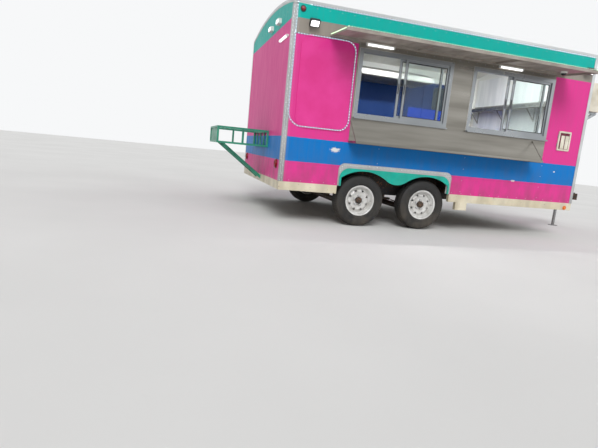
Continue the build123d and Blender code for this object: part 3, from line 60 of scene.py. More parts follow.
TO_SERVING, UP = Vector((0, -1, 0)), Vector((0, 0, 1))
FULL_TURN = 2 * math.pi

# Sizes of the solids that their boxes don't tell
WALL_THICK = 0.045
CANOPY_LIP = 0.034
FLOOD_REACH, FLOOD_HEIGHT, FLOOD_TILT = 0.06, 2.282, 35
MENU_CORNER = 0.13
SKIRT_CORNER, PANEL_CORNER = 0.13, 0.08
TUBE_RADIUS = 0.013
DOOR_GAP = 0.008
LIGHT_CORNER = 0.04
ARCH_RISE = 0.14

# Painted bands: the lowest height of each colour. Only the serving side has the bare one.
# The bare band's grey is lightened: painted light for the lamps that light it
BARE, PINK = "#968F86", "#DC3A8F"
BANDS = ((0.74, "#0074C2"), (1.02, PINK), (2.155, BARE), (2.325, "#05B1A6"))
# How much of each leg of the rear corner caps is left bare of the walls' paint
CAP_BARE = 0.05
# Where paint is knocked off the serving side: x from the rear, height, half width, half height
BARE_SPOTS = ((0.656, 0.916, 0.068, 0.034), (3.227, 0.741, 0.04, 0.014), (3.879, 0.914, 0.016, 0.013))
# The blue lining inside the road side: where it ends, and where it is brighter
BLUE_END, BLUE_TOP, BRIGHT_START, BRIGHT_TOP = 4.0, 2.29, 2.87, 1.82
WALL_DIRT, WALL_DIRT_TOP = "#5C5148", 1.1
STEEL_DIRT = "#6B5F52"
PLATE_SHADES = ("#A9ABAC", "#989A9B")


def place(x, y, z):
    """A point given from the rear wall, the centreline and the ground."""
    return Vector((REAR + x, MIDDLE + y, z))


def linear(code):
    """An sRGB hex colour as linear RGBA."""
    parts = [int(code[i:i + 2], 16) / 255 for i in (1, 3, 5)]
    return (*[c / 12.92 if c <= 0.04045 else ((c + 0.055) / 1.055) ** 2.4 for c in parts], 1.0)


def feed(tree, node, sockets):
    """Gives each named socket of a node a value or another node's output."""
    for name, value in sockets.items():
        if isinstance(value, bpy.types.NodeSocket):
            tree.links.new(value, node.inputs[name])
        else:
            node.inputs[name].default_value = value


def add(tree, kind, sockets=None, **settings):
    """Adds one node: settings are its properties, and a socket takes a value or an output."""
    made = tree.nodes.new(kind)
    for name, value in settings.items():
        setattr(made, name, value)
    feed(tree, made, sockets or {})
    return made


def calc(tree, operation, *values):
    """The result of one sum or comparison."""
    return add(tree, "ShaderNodeMath", dict(enumerate(values)), operation=operation).outputs[0]


def all_of(tree, share, *others):
    """The product of some shares, which is 1 where all of them are."""
    for other in others:
        share = calc(tree, "MULTIPLY", share, other)
    return share


def within(tree, value, centre, half):
    """1 where value is less than half away from centre, else 0."""
    return calc(tree, "LESS_THAN", calc(tree, "ABSOLUTE", calc(tree, "SUBTRACT", value, centre)), half)


def blank(name):
    """A new material, with its tree, its shader and the object's own coordinates."""
    material = bpy.data.materials.new(name)
    material.use_nodes = True
    tree = material.node_tree
    shader = tree.nodes["Principled BSDF"]
    position = add(tree, "ShaderNodeTexCoord").outputs["Object"]
    return material, tree, shader, position


def blotches(tree, position, size, stretch=(1, 1, 1), detail=3.0):
    """Cloudy noise whose patches are about size metres, longer along a stretched axis."""
    scaled = add(tree, "ShaderNodeMapping", {"Vector": position, "Scale": [1 / (size * s) for s in stretch]})
    noise = add(tree, "ShaderNodeTexNoise", {"Vector": scaled.outputs[0], "Scale": 1.0, "Detail": detail})
    return noise.outputs["Fac"]


def ramp(tree, value, low, high, start=0.0, end=1.0):
    """Maps value from low..high to start..end, held at both ends."""
    return add(tree, "ShaderNodeMapRange", {0: value, 1: low, 2: high, 3: start, 4: end}).outputs[0]


def blend(tree, share, first, second):
    """One colour over another, where share is 1."""
    return add(tree, "ShaderNodeMix", {0: share, 6: first, 7: second}, data_type="RGBA").outputs[2]


def bumps(tree, height, distance, strength=0.6):
    """A relief of distance metres."""
    bump = add(tree, "ShaderNodeBump", {"Height": height, "Distance": distance, "Strength": strength})
    return bump.outputs[0]


def weather(tree, position, colour, dirt, dirt_top, chips=None, chip_size=0.0, chip_share=0.0):
    """Road dirt that fades out upwards, and small chips down to another colour."""
    if chips:
        spots = ramp(tree, blotches(tree, position, chip_size, detail=5.0), 1 - chip_share, 1.01 - chip_share)
        colour = blend(tree, spots, colour, linear(chips))
    if dirt:
        height = add(tree, "ShaderNodeSeparateXYZ", {0: position}).outputs[2]
        low = ramp(tree, height, 0.0, dirt_top, 0.75, 0.0)
        cloud = ramp(tree, blotches(tree, position, 0.12, (1, 1, 2)), 0.35, 0.75)
        colour = blend(tree, calc(tree, "MULTIPLY", low, cloud), colour, linear(dirt))
    return colour


def finish(name, shades, patch, rough, metallic=0.0, stretch=(1, 1, 1), relief=0.0002, grain=0.002,
           dirt=None, dirt_top=1.0, chips=None, chip_size=0.03, chip_share=0.3, **sockets):
    """A weathered surface: two shades of one colour in patches of patch metres, roughness that
    wanders between two values, and a relief of relief metres in grains of grain metres."""
    material, tree, shader, position = blank(name)
    cloud = blotches(tree, position, patch, stretch)
    colour = blend(tree, ramp(tree, cloud, 0.35, 0.65), *map(linear, shades))
    feed(tree, shader, {
        "Base Color": weather(tree, position, colour, dirt, dirt_top, chips, chip_size, chip_share),
        "Roughness": ramp(tree, cloud, 0.3, 0.7, *rough), "Metallic": metallic,
        "Normal": bumps(tree, blotches(tree, position, grain, stretch, 2.0), relief),
        **{socket.replace("_", " "): value for socket, value in sockets.items()}})
    return material


def painted_bands(tree, position, y, z):
    """The walls' paint by height, with slightly wandering edges, and its roller marks."""
    edge = calc(tree, "MULTIPLY_ADD", blotches(tree, position, 0.05), 0.006, z)
    serving_face = calc(tree, "LESS_THAN", y, SERVING + 0.002)
    colour = linear(PINK)
    for height, code in BANDS:
        above = calc(tree, "GREATER_THAN", edge, height + 0.003)
        if code == BARE:
            above = calc(tree, "MULTIPLY", above, serving_face)
        colour = blend(tree, above, colour, linear(code))
    marks = blotches(tree, position, 0.03, (1, 1, 12))
    faded = add(tree, "ShaderNodeHueSaturation", {"Color": colour, "Value": 0.86, "Saturation": 0.95})
    return blend(tree, ramp(tree, marks, 0.35, 0.75, 0.0, 0.6), colour, faded.outputs[0]), marks


def wall_enamel():
    """Brushed-on enamel over aluminium skin, in level bands, with lining boards inside.
    It gives flat strong colours with faint vertical roller marks, a soft gloss and a few chips."""
    material, tree, shader, position = blank("enamel_on_aluminium_skin")
    x, y, z = add(tree, "ShaderNodeSeparateXYZ", {0: position}).outputs
    colour, marks = painted_bands(tree, position, y, z)
    for at_x, at_z, wide, high in BARE_SPOTS:
        local = add(tree, "ShaderNodeMapping", {
            "Vector": position, "Location": place(at_x, -HALF_WIDTH, at_z), "Scale": (wide, 0.02, high),
        }, vector_type="TEXTURE")
        reach = add(tree, "ShaderNodeVectorMath", {0: local.outputs[0]}, operation="LENGTH").outputs["Value"]
        ragged = calc(tree, "MULTIPLY_ADD", blotches(tree, position, 0.012), 1.6, reach)
        colour = blend(tree, ramp(tree, ragged, 1.5, 1.65, 1.0, 0.0), colour, linear("#D9DADA"))
    colour = weather(tree, position, colour, WALL_DIRT, WALL_DIRT_TOP)
    # Inside, the boards are white, and blue on the road side, brighter low down towards the front
    inside = all_of(tree, within(tree, x, (REAR + FRONT) / 2, LENGTH / 2 - 0.01),
                    within(tree, y, MIDDLE, HALF_WIDTH - 0.01))
    blue = all_of(tree, calc(tree, "GREATER_THAN", y, MIDDLE + HALF_WIDTH - 0.06),
                  calc(tree, "LESS_THAN", z, BLUE_TOP), calc(tree, "LESS_THAN", x, REAR + BLUE_END))
    bright = all_of(tree, calc(tree, "LESS_THAN", z, BRIGHT_TOP),
                    calc(tree, "GREATER_THAN", x, REAR + BRIGHT_START))
    blue_shade = blend(tree, bright, linear("#14356F"), linear("#1140B4"))
    lining = blend(tree, blue, linear("#E4E6E4"), blue_shade)
    feed(tree, shader, {
        "Base Color": blend(tree, inside, colour, lining), "Specular IOR Level": 0.15,
        "Roughness": ramp(tree, marks, 0.3, 0.7, 0.36, 0.52), "Normal": bumps(tree, marks, 0.0006, 0.5)})
    return material


def lapped_tread_plate():
    """Rolled aluminium tread plate whose outer edges the walls' enamel laps over.
    It gives a bright scuffed strip along the corner that ends in a brushed line of paint."""
    material, tree, shader, position = blank("tread_plate_lapped_with_enamel")
    x, y, z = add(tree, "ShaderNodeSeparateXYZ", {0: position}).outputs
    side = calc(tree, "ABSOLUTE", calc(tree, "SUBTRACT", y, MIDDLE))
    bare = all_of(tree, within(tree, x, REAR, CAP_BARE), within(tree, side, HALF_WIDTH, CAP_BARE))
    cloud = blotches(tree, position, 0.2)
    metal = blend(tree, ramp(tree, cloud, 0.35, 0.65), *map(linear, PLATE_SHADES))
    colour = blend(tree, bare, painted_bands(tree, position, y, z)[0], metal)
    feed(tree, shader, {
        "Base Color": weather(tree, position, colour, WALL_DIRT, WALL_DIRT_TOP), "Metallic": bare,
        "Roughness": ramp(tree, cloud, 0.3, 0.7, 0.32, 0.42),
        "Normal": bumps(tree, blotches(tree, position, 0.003, detail=2.0), 0.0002)})
    return material


def clear_glass(name, tint):
    """Float glass: see-through with a sharp reflection and a thin film of dust."""
    material, tree, shader, position = blank(name)
    dust = ramp(tree, blotches(tree, position, 0.08, detail=5.0), 0.4, 0.8, 0.02, 0.14)
    feed(tree, shader, {"Roughness": dust, "Base Color": linear(tint),
                        "Transmission Weight": 1.0, "IOR": 1.25})
    return material


def lit(name, code, strength):
    """A lit lamp cover: milky plastic that glows."""
    material, tree, shader, position = blank(name)
    cloud = blotches(tree, position, 0.02)
    feed(tree, shader, {
        "Base Color": blend(tree, cloud, linear("#E8EEF0"), linear(code)),
        "Roughness": ramp(tree, cloud, 0.3, 0.7, 0.22, 0.34),
        "Emission Color": linear(code), "Emission Strength": strength})
    return material


FINISHES = {
    # Chassis paint: dull black, dusty, with rust where stones have hit it
    "frame_paint": finish(
        "black_chassis_paint", ("#1B1B1D", "#26262A"), 0.08, (0.45, 0.65), relief=0.0004, grain=0.004,
        dirt="#5A5047", dirt_top=0.7, chips="#6A3B22", chip_size=0.025, chip_share=0.34),
    # Cream enamel on folded steel: chalky, with road dirt and rust spots
    "rail_paint": finish(
        "cream_enamel", ("#DED5BE", "#CFC4A8"), 0.25, (0.35, 0.5), relief=0.0003, grain=0.01,
        dirt=STEEL_DIRT, dirt_top=0.75, chips="#7A4B2C", chip_share=0.31, Specular_IOR_Level=0.3),
    # Phenolic-faced plywood: worn brown with long grain
    "deck_wood": finish("plywood_floor", ("#7A6246", "#5D4831"), 0.03, (0.55, 0.75), stretch=(14, 1, 1),
                        relief=0.0005, grain=0.006),
    "wall_paint": wall_enamel(),
    # White coated roof sheet: satin, with dust in long streaks
    "roof_white": finish("white_coated_sheet", ("#E6E6E2", "#D5D4CD"), 0.2, (0.3, 0.45),
                         stretch=(1, 4, 1), relief=0.0003, grain=0.02),
    # Rolled aluminium tread plate: bright and scuffed
    "tread_plate": finish("rolled_tread_plate", PLATE_SHADES, 0.2, (0.32, 0.42), metallic=1.0, grain=0.003),
    # Mill finish aluminium: satin, faintly streaked along its length
    "trim_aluminium": finish("mill_aluminium", ("#BFC1C2", "#B1B3B4"), 0.2, (0.28, 0.38), metallic=1.0,
                             stretch=(6, 1, 1), dirt=STEEL_DIRT, dirt_top=0.9),
    # Brushed stainless sheet: level brush lines, water marks and grease smears
    "stainless": finish("brushed_stainless", ("#94918A", "#7F7C75"), 0.12, (0.26, 0.44), metallic=1.0,
                        stretch=(12, 1, 1), grain=0.003),
    # Bright anodised window sections: pale and even
    "window_aluminium": finish("bright_anodised_sections", ("#989C9F", "#8C9093"), 0.6, (0.26, 0.32),
                               metallic=0.85, relief=0.0001),
    # Clear float glass: a faint green cast
    "window_pane": clear_glass("float_glass", "#F2F8F6"),
    # Grey-brown painted awning sheet: dull with rain streaks, its grey lightened as painted light for the
    # lamps that light its underside
    "canopy_paint": finish("grey_awning_enamel_painted_light", ("#A39B93", "#8E867E"), 0.12, (0.42, 0.58),
                           stretch=(1, 3, 1), relief=0.0004, grain=0.02, Specular_IOR_Level=0.3),
    # Moulded lamp housing: white, smooth and slightly yellowed
    "lamp_plastic": finish("moulded_lamp_housing", ("#E3E5E2", "#D3D5CF"), 0.04, (0.3, 0.42), relief=0.0001),
    # Gloss enamel on aluminium board: a sharper gloss than the walls'
    "menu_paint": finish("pink_gloss_enamel", ("#E03E94", "#D83588"), 0.3, (0.12, 0.22), grain=0.05,
                         Specular_IOR_Level=0.3),
    # Teal enamel on the fender skirt: gloss gone dull with road dust
    "skirt_paint": finish("teal_enamel", ("#10B29E", "#0CA08E"), 0.15, (0.3, 0.45), relief=0.0003, grain=0.01,
                          dirt="#5B5A50", Specular_IOR_Level=0.3),
    # Green enamel on square tube: thick brush coat with runs and rust
    "rack_paint": finish("green_brushed_enamel", ("#2F8F72", "#267A60"), 0.06, (0.32, 0.5), relief=0.0005,
                         grain=0.006, chips="#6E4A30", chip_size=0.02, chip_share=0.32),
    # Moulded red lens: clear gloss over saturated red
    "red_lens": finish("moulded_red_lens", ("#8E0D12", "#6E070B"), 0.02, (0.1, 0.18), relief=0.0004,
                       grain=0.004, Coat_Weight=0.5),
    # Moulded amber lens: clear gloss over orange
    "amber_lens": finish("moulded_amber_lens", ("#E77A12", "#D2640A"), 0.02, (0.1, 0.18), relief=0.0004,
                         grain=0.004, Coat_Weight=0.5),
    # Coated steel under the floor: near black, dusty, with surface rust
    "dark_steel": finish(
        "coated_underframe_steel", ("#26241F", "#3A2E25"), 0.05, (0.5, 0.7), metallic=0.3, relief=0.0004,
        grain=0.005, dirt="#6A5D4F", dirt_top=0.8, chips="#74462C", chip_size=0.02, chip_share=0.4),
    # Ivory enamelled case: aged, slightly yellow
    "case_enamel": finish("ivory_case_enamel", ("#E2DDCD", "#D2CCB8"), 0.1, (0.32, 0.45), relief=0.0003,
                          grain=0.004, dirt="#7C7365", dirt_top=2.4),
    # Zinc plate: cool grey with a passivated bloom
    "zinc_steel": finish("zinc_plated_steel", ("#A9ADB0", "#8D9194"), 0.03, (0.34, 0.5), metallic=0.9,
                         relief=0.0003, dirt=STEEL_DIRT, dirt_top=0.6),
    # Moulded tyre rubber: warm black, matt, with dust low down
    "tyre_rubber": finish("moulded_tyre_rubber", ("#19191A", "#232220"), 0.05, (0.62, 0.8), relief=0.0003,
                          grain=0.003, dirt="#5E554A", dirt_top=0.5),
    # White enamel on pressed steel wheels: brake dust and rust blooms
    "wheel_paint": finish("white_wheel_enamel", ("#DEDEDC", "#CBCAC6"), 0.06, (0.28, 0.42), grain=0.004,
                          dirt="#6F655A", dirt_top=0.62, chips="#8A5F42", chip_size=0.02),
    # Brushed appliance steel: brighter than the outside sheet
    "appliance_steel": finish("brushed_appliance_steel", ("#AFB0AE", "#9A9B98"), 0.08, (0.4, 0.55),
                              metallic=0.85, stretch=(10, 1, 1)),
    # Black moulded plastic: fine spark texture
    "black_plastic": finish("black_moulded_plastic", ("#1C1C1E", "#252527"), 0.03, (0.42, 0.56),
                            relief=0.0003, grain=0.0015),
}
# Two solids have a finish of their own: the corner caps, and the door's smoked glass, dark and glossy
OWN_FINISHES = {"corner_caps_rear": lapped_tread_plate(),
                "door_glass": clear_glass("smoked_float_glass", "#3C464E")}

slots = {part["node"]: part["material_slot"] for part in frame["record"]["subparts"]}
for name, node in frame["nodes"].items():
    if not node.material_slots:
        node.data.materials.append(None)
    for held in node.material_slots:
        held.material = OWN_FINISHES.get(name) or FINISHES[slots[name]]

# Finishes that only the small pieces use
# Lamps of the light strings: points that read as lit, each a slightly different white
LED_WHITE = lit("cool_white_led_lens", "#D6F4FF", 3.0)
LED_BLUE = lit("blue_white_led_lens", "#CFE2FF", 3.0)
LED_GREEN = lit("green_white_led_lens", "#D2FFC4", 3.0)
# Silicone sleeve of the strings: smooth, blue-grey, darker than the lamps in it
LED_TAPE = finish("clear_silicone_led_tape", ("#43545C", "#36464E"), 0.02, (0.3, 0.45), relief=0.0001)
# Lit covers: an even white glow, strongest inside, where the ceiling lamps light the galley
TUBE_COVER = lit("lit_opal_tube", "#FFFFFF", 1.6)
FLOOD_LENS = lit("lit_flood_lens", "#FFFFFF", 4.0)
CEILING_LENS = lit("lit_ceiling_diffuser", "#FFFFFF", 75.0)
# Chromed steel: mirror-like with soft spots
CHROME = finish("chromed_nuts", ("#D9DADC", "#C9CACC"), 0.02, (0.08, 0.2), metallic=1.0, relief=0.0001)
# Tops of the tread bars, rubbed bright, so that they stand out from the scuffed plate
WORN_BARS = finish("bars_worn_bright", ("#F0F1F1", "#E2E3E4"), 0.05, (0.14, 0.24), metallic=1.0,
                   relief=0.0001)
# Painted shade in the hatch's reveal: a dull dark maroon sheet that stands for the recess's shadow
HATCH_PAINTED_SHADE = finish("maroon_painted_shade_reveal", ("#6E1637", "#57102A"), 0.03, (0.5, 0.65))
# Lining sheets of the galley: pale, with upright brush lines, and blurred reflections painted into their
# colour as long upright streaks
LINING_WITH_PAINTED_REFLECTIONS = finish("galley_lining_painted_reflections", ("#ECEFF1", "#DCE0E3"), 0.1, (0.34, 0.5), metallic=0.05,
                      stretch=(1, 1, 10))
# Sealant bead: uneven, off-white, slightly dirty
SEALANT = finish("sealant_bead", ("#CFCBC1", "#B8B3A8"), 0.02, (0.4, 0.55), relief=0.0006, grain=0.006)
# Smoked acrylic: dark and glossy
SMOKED_DOME = finish("smoked_acrylic_dome", ("#17181A", "#222427"), 0.03, (0.06, 0.14), relief=0.0001)


def piece(name, shape, slot, own=None, body="trailer", edge=0.0):
    """Makes a finished bmesh an object that rides on a body, with its slot's finish or its own,
    and with its sharp edges rounded by edge metres."""
    bmesh.ops.recalc_face_normals(shape, faces=shape.faces)
    mesh = bpy.data.meshes.new(name)
    shape.to_mesh(mesh)
    shape.free()
    made = bpy.data.objects.new(name, mesh)
    bpy.context.scene.collection.objects.link(made)
    mesh.materials.append(own or FINISHES[slot])
    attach(made, body)
    if edge:
        bevel = made.modifiers.new("edges", "BEVEL")
        bevel.width = edge
        bevel.segments = 2
        bevel.limit_method = "ANGLE"
    return made


def sized(spot, size, turn=Matrix()):
    """The matrix that gives a unit shape its size, its turn and its place."""
    return Matrix.Translation(spot) @ turn @ Matrix.Diagonal((*size, 1))


def turned(*axes):
    """The turn that points a shape's x, y and z along three directions."""
    return Matrix(axes).transposed().to_4x4()


def slab(shape, low, high):
    """A block between two corners."""
    low, high = Vector(low), Vector(high)
    return bmesh.ops.create_cube(shape, size=1, matrix=sized((low + high) / 2, high - low))["verts"]


def plates(shape, corners, near, far):
    """Slabs from y near to y far, each over a rectangle given by its low and high x and z."""
    for (x0, z0), (x1, z1) in corners:
        slab(shape, (x0, near, z0), (x1, far, z1))


def stud(shape, start, end, radius, tip=None, sides=10):
    """A round or many-sided post from one point to another, narrowing to tip."""
    start, end = Vector(start), Vector(end)
    run = end - start
    turn = run.to_track_quat("Z", "Y").to_matrix().to_4x4()
    bmesh.ops.create_cone(shape, cap_ends=True, segments=sides, radius1=radius,
                          radius2=radius if tip is None else tip, depth=run.length,
                          matrix=Matrix.Translation((start + end) / 2) @ turn)


def ball(shape, spot, radii, turn=Matrix(), around=24, rings=12):
    """A ball, flattened to three radii."""
    bmesh.ops.create_uvsphere(shape, u_segments=around, v_segments=rings, radius=1,
                              matrix=sized(spot, radii, turn))


def swept(shape, points, centre, axis, steps, angle=FULL_TURN, closed=False):
    """The surface that an outline makes as it turns about an axis. A full turn is joined up."""
    verts = [shape.verts.new(point) for point in points]
    pairs = list(zip(verts, verts[1:])) + ([(verts[-1], verts[0])] if closed else [])
    bmesh.ops.spin(shape, geom=verts + [shape.edges.new(pair) for pair in pairs], cent=centre, axis=axis,
                   angle=angle, steps=steps, use_merge=angle == FULL_TURN)


def solids(name):
    """The low and high corners of each separate solid of a node, in a fixed order."""
    shape = bmesh.new()
    shape.from_mesh(frame["nodes"][name].data)
    bmesh.ops.remove_doubles(shape, verts=shape.verts, dist=1e-5)
    found, left = [], set(shape.verts)
    while left:
        reached, edge = set(), [left.pop()]
        while edge:
            vert = edge.pop()
            reached.add(vert)
            near = {line.other_vert(vert) for line in vert.link_edges} & left
            left -= near
            edge += near
        corners = [Vector(pick(v.co[i] for v in reached) for i in range(3)) for pick in (min, max)]
        found.append(tuple(corners))
    shape.free()
    return sorted(found, key=lambda box: tuple(round(c, 4) for c in box[0]))


def walk(points, spacing):
    """Evenly spaced points along a path, each with the path's direction there."""
    spent = 0.0
    for start, end in zip(points, points[1:]):
        run = end - start
        while spent <= run.length:
            yield start + run.normalized() * spent, run.normalized()
            spent += spacing
        spent -= run.length


TAPE_WIDE, TAPE_THICK = 0.012, 0.004
LED_PITCH, LED_RADII = 0.0333, (0.005, 0.005, 0.006)


def light_string(name, points, out, lens):
    """A run of small lamps on a tape. out is the way they face."""
    out = Vector(out)
    tape, lamps = bmesh.new(), bmesh.new()
    for start, end in zip(points, points[1:]):
        run = end - start
        along = run.normalized()
        bmesh.ops.create_cube(tape, size=1, matrix=sized(
            (start + end) / 2 + out * TAPE_THICK / 2, (run.length, TAPE_WIDE, TAPE_THICK),
            turned(along, along.cross(out), out)))
    for spot, along in walk(points, LED_PITCH):
        ball(lamps, spot + out * TAPE_THICK, LED_RADII, turned(along, along.cross(out), out), 8, 5)
    piece(name + "_tape", tape, "lamp_plastic", LED_TAPE)
    piece(name + "_lamps", lamps, "lamp_plastic", lens)


def rivets(name, spots, out, radius):
    """Rivet heads that stand on a face."""
    shape = bmesh.new()
    for spot in spots:
        stud(shape, spot, spot + Vector(out) * 0.003, radius, radius * 0.55, 8)
    piece(name, shape, "trim_aluminium")


def row(start, end, spacing):
    """Points from start to end, about spacing apart."""
    start, end = Vector(start), Vector(end)
    count = max(1, round((end - start).length / spacing))
    return [start.lerp(end, i / count) for i in range(count + 1)]


# Light strings on the serving side: roof edge, rear corner, menu board and canopy
cap_low, cap_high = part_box("corner_caps_rear")
menu_low, menu_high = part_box("menu_board")
canopy_low, canopy_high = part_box("canopy")
STRING_LINE = 0.04  # how far in front of the rear the strings run up the corner cap
WIDE_TURN, TIGHT_TURN = 0.165, 0.12  # radii of the menu string's corners
light_string("roof_lights", [place(x, -HALF_WIDTH, 2.48) for x in (0.2, 4.2)], TO_SERVING, LED_WHITE)
light_string("corner_lights", [Vector((REAR + STRING_LINE, cap_low.y, z)) for z in (2.185, 2.5)],
             TO_SERVING, LED_WHITE)


def backing(x, z):
    """How far out the face behind the menu's string stands at a place: cap, board or wall."""
    if x < cap_high.x:
        return cap_low.y
    dx = max(menu_low.x + MENU_CORNER - x, x - menu_high.x + MENU_CORNER, 0)
    dz = max(menu_low.z + MENU_CORNER - z, z - menu_high.z + MENU_CORNER, 0)
    return menu_low.y if math.hypot(dx, dz) < MENU_CORNER else SERVING


# The menu's string drops down the corner cap, turns under the board, and comes back along its top
left, right = REAR + STRING_LINE, menu_high.x - 0.02
low, high = menu_low.z + 0.014, menu_high.z - 0.008
route = [(left, 2.165)]
for x, z, radius, first in ((left + WIDE_TURN, low + WIDE_TURN, WIDE_TURN, 180),
                            (right - TIGHT_TURN, low + TIGHT_TURN, TIGHT_TURN, 270),
                            (right - TIGHT_TURN, high - TIGHT_TURN, TIGHT_TURN, 0)):
    for angle in (math.radians(first + step * 15) for step in range(7)):
        route.append((x + radius * math.cos(angle), z + radius * math.sin(angle)))
route += [(REAR + x, high) for x in (0.26, 0.2, 0.1, 0.082, STRING_LINE + 0.014)]
light_string("menu_lights", [Vector((x, backing(x, z), z)) for x, z in route], TO_SERVING, LED_BLUE)
edge_z = canopy_low.z + CANOPY_LIP
light_string("canopy_lights", [Vector((canopy_low.x, SERVING - 0.05, canopy_high.z - 0.022)),
                               Vector((canopy_low.x, canopy_low.y + 0.01, edge_z - 0.012))],
             (-1, 0, 0), LED_GREEN)
light_string("canopy_edge_lights", [Vector((x, canopy_low.y + 0.0065, edge_z))
                                    for x in (canopy_low.x + 0.02, canopy_high.x - 0.02)], UP, LED_GREEN)


def tread_bars(shape, corner, across, out, width, height, pitch, keep=None):
    """Raised bars of tread plate over an upright face, turned alternately left and right."""
    across, out = Vector(across), Vector(out)
    columns, rows = int(width / pitch), int(height / pitch)
    left = (width - (columns - 1) * pitch) / 2
    for column in range(columns):
        for level in range(rows):
            spot = corner + across * (left + column * pitch) + UP * (pitch * (level + 0.5))
            if keep and not keep(spot):
                continue
            lean = math.radians(45 if (column + level) % 2 else -45)
            along = across * math.cos(lean) + UP * math.sin(lean)
            bmesh.ops.create_cone(shape, cap_ends=True, segments=6, radius1=0.011, radius2=0.007,
                                  depth=0.0012, matrix=sized(spot + out * 0.0006, (1, 0.32, 1),
                                                             turned(along, out.cross(along), out)))


# Tread plate on the rear corners and the fender panels
bars = bmesh.new()
tall = cap_high.z - cap_low.z
for y, side in ((cap_low.y, -1), (cap_high.y, 1)):
    start = cap_low.y if side < 0 else cap_high.y - CAP_BARE
    for at_y, across, out in ((y, (1, 0, 0), (0, side, 0)), (start, (0, 1, 0), (-1, 0, 0))):
        tread_bars(bars, Vector((cap_low.x, at_y, cap_low.z)), across, out, CAP_BARE, tall, 0.0245)
piece("corner_tread_bars", bars, "tread_plate", WORN_BARS)
for side, out in (("right", -1), ("left", 1)):
    low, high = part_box(f"fender_panel_{side}")
    skirt_low, skirt_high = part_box(f"fender_skirt_{side}")

    def on_panel(spot):
        """Whether a bar stands clear of the skirt and the panel's corners."""
        inner = skirt_low.x - 0.008 < spot.x < skirt_high.x + 0.008
        if spot.z < skirt_high.z + 0.012 and inner:
            dx = min(spot.x - skirt_low.x, skirt_high.x - spot.x)
            dz = skirt_high.z - spot.z
            in_corner = dx < SKIRT_CORNER and dz < SKIRT_CORNER
            return in_corner and math.hypot(SKIRT_CORNER - dx, SKIRT_CORNER - dz) > SKIRT_CORNER + 0.012
        dx, dz = min(spot.x - low.x, high.x - spot.x), high.z - spot.z
        if dx < PANEL_CORNER and dz < PANEL_CORNER:
            return math.hypot(PANEL_CORNER - dx, PANEL_CORNER - dz) < 0.066
        return min(dx, dz) > 0.012

    bars = bmesh.new()
    tread_bars(bars, Vector((low.x, low.y if out < 0 else high.y, low.z)), (1, 0, 0), (0, out, 0),
               high.x - low.x, high.z - low.z, 0.024, on_panel)
    piece(f"fender_tread_bars_{side}", bars, "tread_plate", WORN_BARS)

# Rivets along the rail, the trims, the surround and the panel seams
RIVET_PITCH, TOP_ROW, SEAMS = 0.15, 2.45, (1.22, 2.44, 3.66)
door_low, door_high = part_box("entry_door")
for side, out, y in (("right", -1, SERVING), ("left", 1, ROAD)):
    spots = []
    fender_low, fender_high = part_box(f"fender_panel_{side}")
    for start, end in ((REAR + 0.12, fender_low.x - 0.03), (fender_high.x + 0.03, FRONT - 0.06)):
        spots += row((start, y, RAIL_TOP + 0.02), (end, y, RAIL_TOP + 0.02), RIVET_PITCH)
    for x in (REAR + seam for seam in SEAMS):
        if out > 0 and door_low.x < x < door_high.x:
            continue
        start = 0.8 if fender_low.x < x < fender_high.x else 0.54
        spots += row((x, y, start), (x, y, 0.98 if out < 0 else TOP_ROW), RIVET_PITCH)
    spots += row((REAR + 0.12, y, TOP_ROW), (FRONT - 0.1, y, TOP_ROW), RIVET_PITCH)
    rivets(f"wall_rivets_{side}", spots, (0, out, 0), 0.005)
for name, x, out in (("rear", REAR, -1), ("front", FRONT, 1)):
    spots = []
    for z in (RAIL_TOP + 0.02, 2.44):
        spots += row((x, SERVING + 0.14, z), (x, ROAD - 0.14, z), RIVET_PITCH)
    rivets(f"wall_rivets_{name}", spots, (out, 0, 0), 0.005)
low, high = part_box("window_surround")
spots = []
for z in (low.z + 0.012, high.z - 0.012):
    spots += row((low.x + 0.012, low.y, z), (high.x - 0.012, low.y, z), 0.12)
rivets("surround_rivets", spots, TO_SERVING, 0.0045)


def tyre(name, body):
    """A moulded tyre on the solid one's place and size, with sidewall rings, ribs and tread blocks."""
    low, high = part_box(name)
    middle = (low + high) / 2
    radius, half = (high.x - low.x) / 2, (high.y - low.y) / 2
    # radius and half width of the skin, from the bead to the middle of the tread
    skin = [(0.183, half - 0.03), (0.19, half - 0.014), (0.205, half - 0.004), (0.214, half - 0.0035),
            (0.216, half), (0.226, half), (0.228, half - 0.002), (0.25, half - 0.0005),
            (radius - 0.062, half - 0.001), (radius - 0.045, half - 0.005), (radius - 0.028, half - 0.012),
            (radius - 0.02, half - 0.018), (radius - 0.011, half - 0.046), (radius - 0.008, 0.0)]
    outline = skin + [(r, -w) for r, w in reversed(skin[:-1])]
    shape = bmesh.new()
    swept(shape, [middle + Vector((0, w, r)) for r, w in outline], middle, (0, 1, 0), 96)
    # Tread ribs: middle, half width, radius of the top and lean of each
    blocks = 72
    for centre, wide, top, lean in ((0, 0.012, radius - 0.0005, 0), (0.032, 0.014, radius - 0.0015, 0),
                                    (-0.032, 0.014, radius - 0.0015, 0), (0.066, 0.014, radius - 0.011, 24),
                                    (-0.066, 0.014, radius - 0.011, -24)):
        made = bmesh.ops.create_cube(shape, size=1, matrix=sized(
            middle + Vector((0, centre, top - 0.006)), (0.0215, 2 * wide, 0.011),
            Matrix.Rotation(math.radians(-lean), 4, "X")))["verts"]
        around = {part for v in made for part in (*v.link_edges, *v.link_faces)}
        bmesh.ops.spin(shape, geom=made + list(around), cent=middle, axis=(0, 1, 0),
                       angle=FULL_TURN * (blocks - 1) / blocks, steps=blocks - 1, use_duplicate=True)
    made = piece(name + "_moulded", shape, "tyre_rubber", body=body)
    for polygon in made.data.polygons:
        polygon.use_smooth = True
    made.modifiers.new("sharp", "EDGE_SPLIT").split_angle = math.radians(35)
    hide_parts(name)


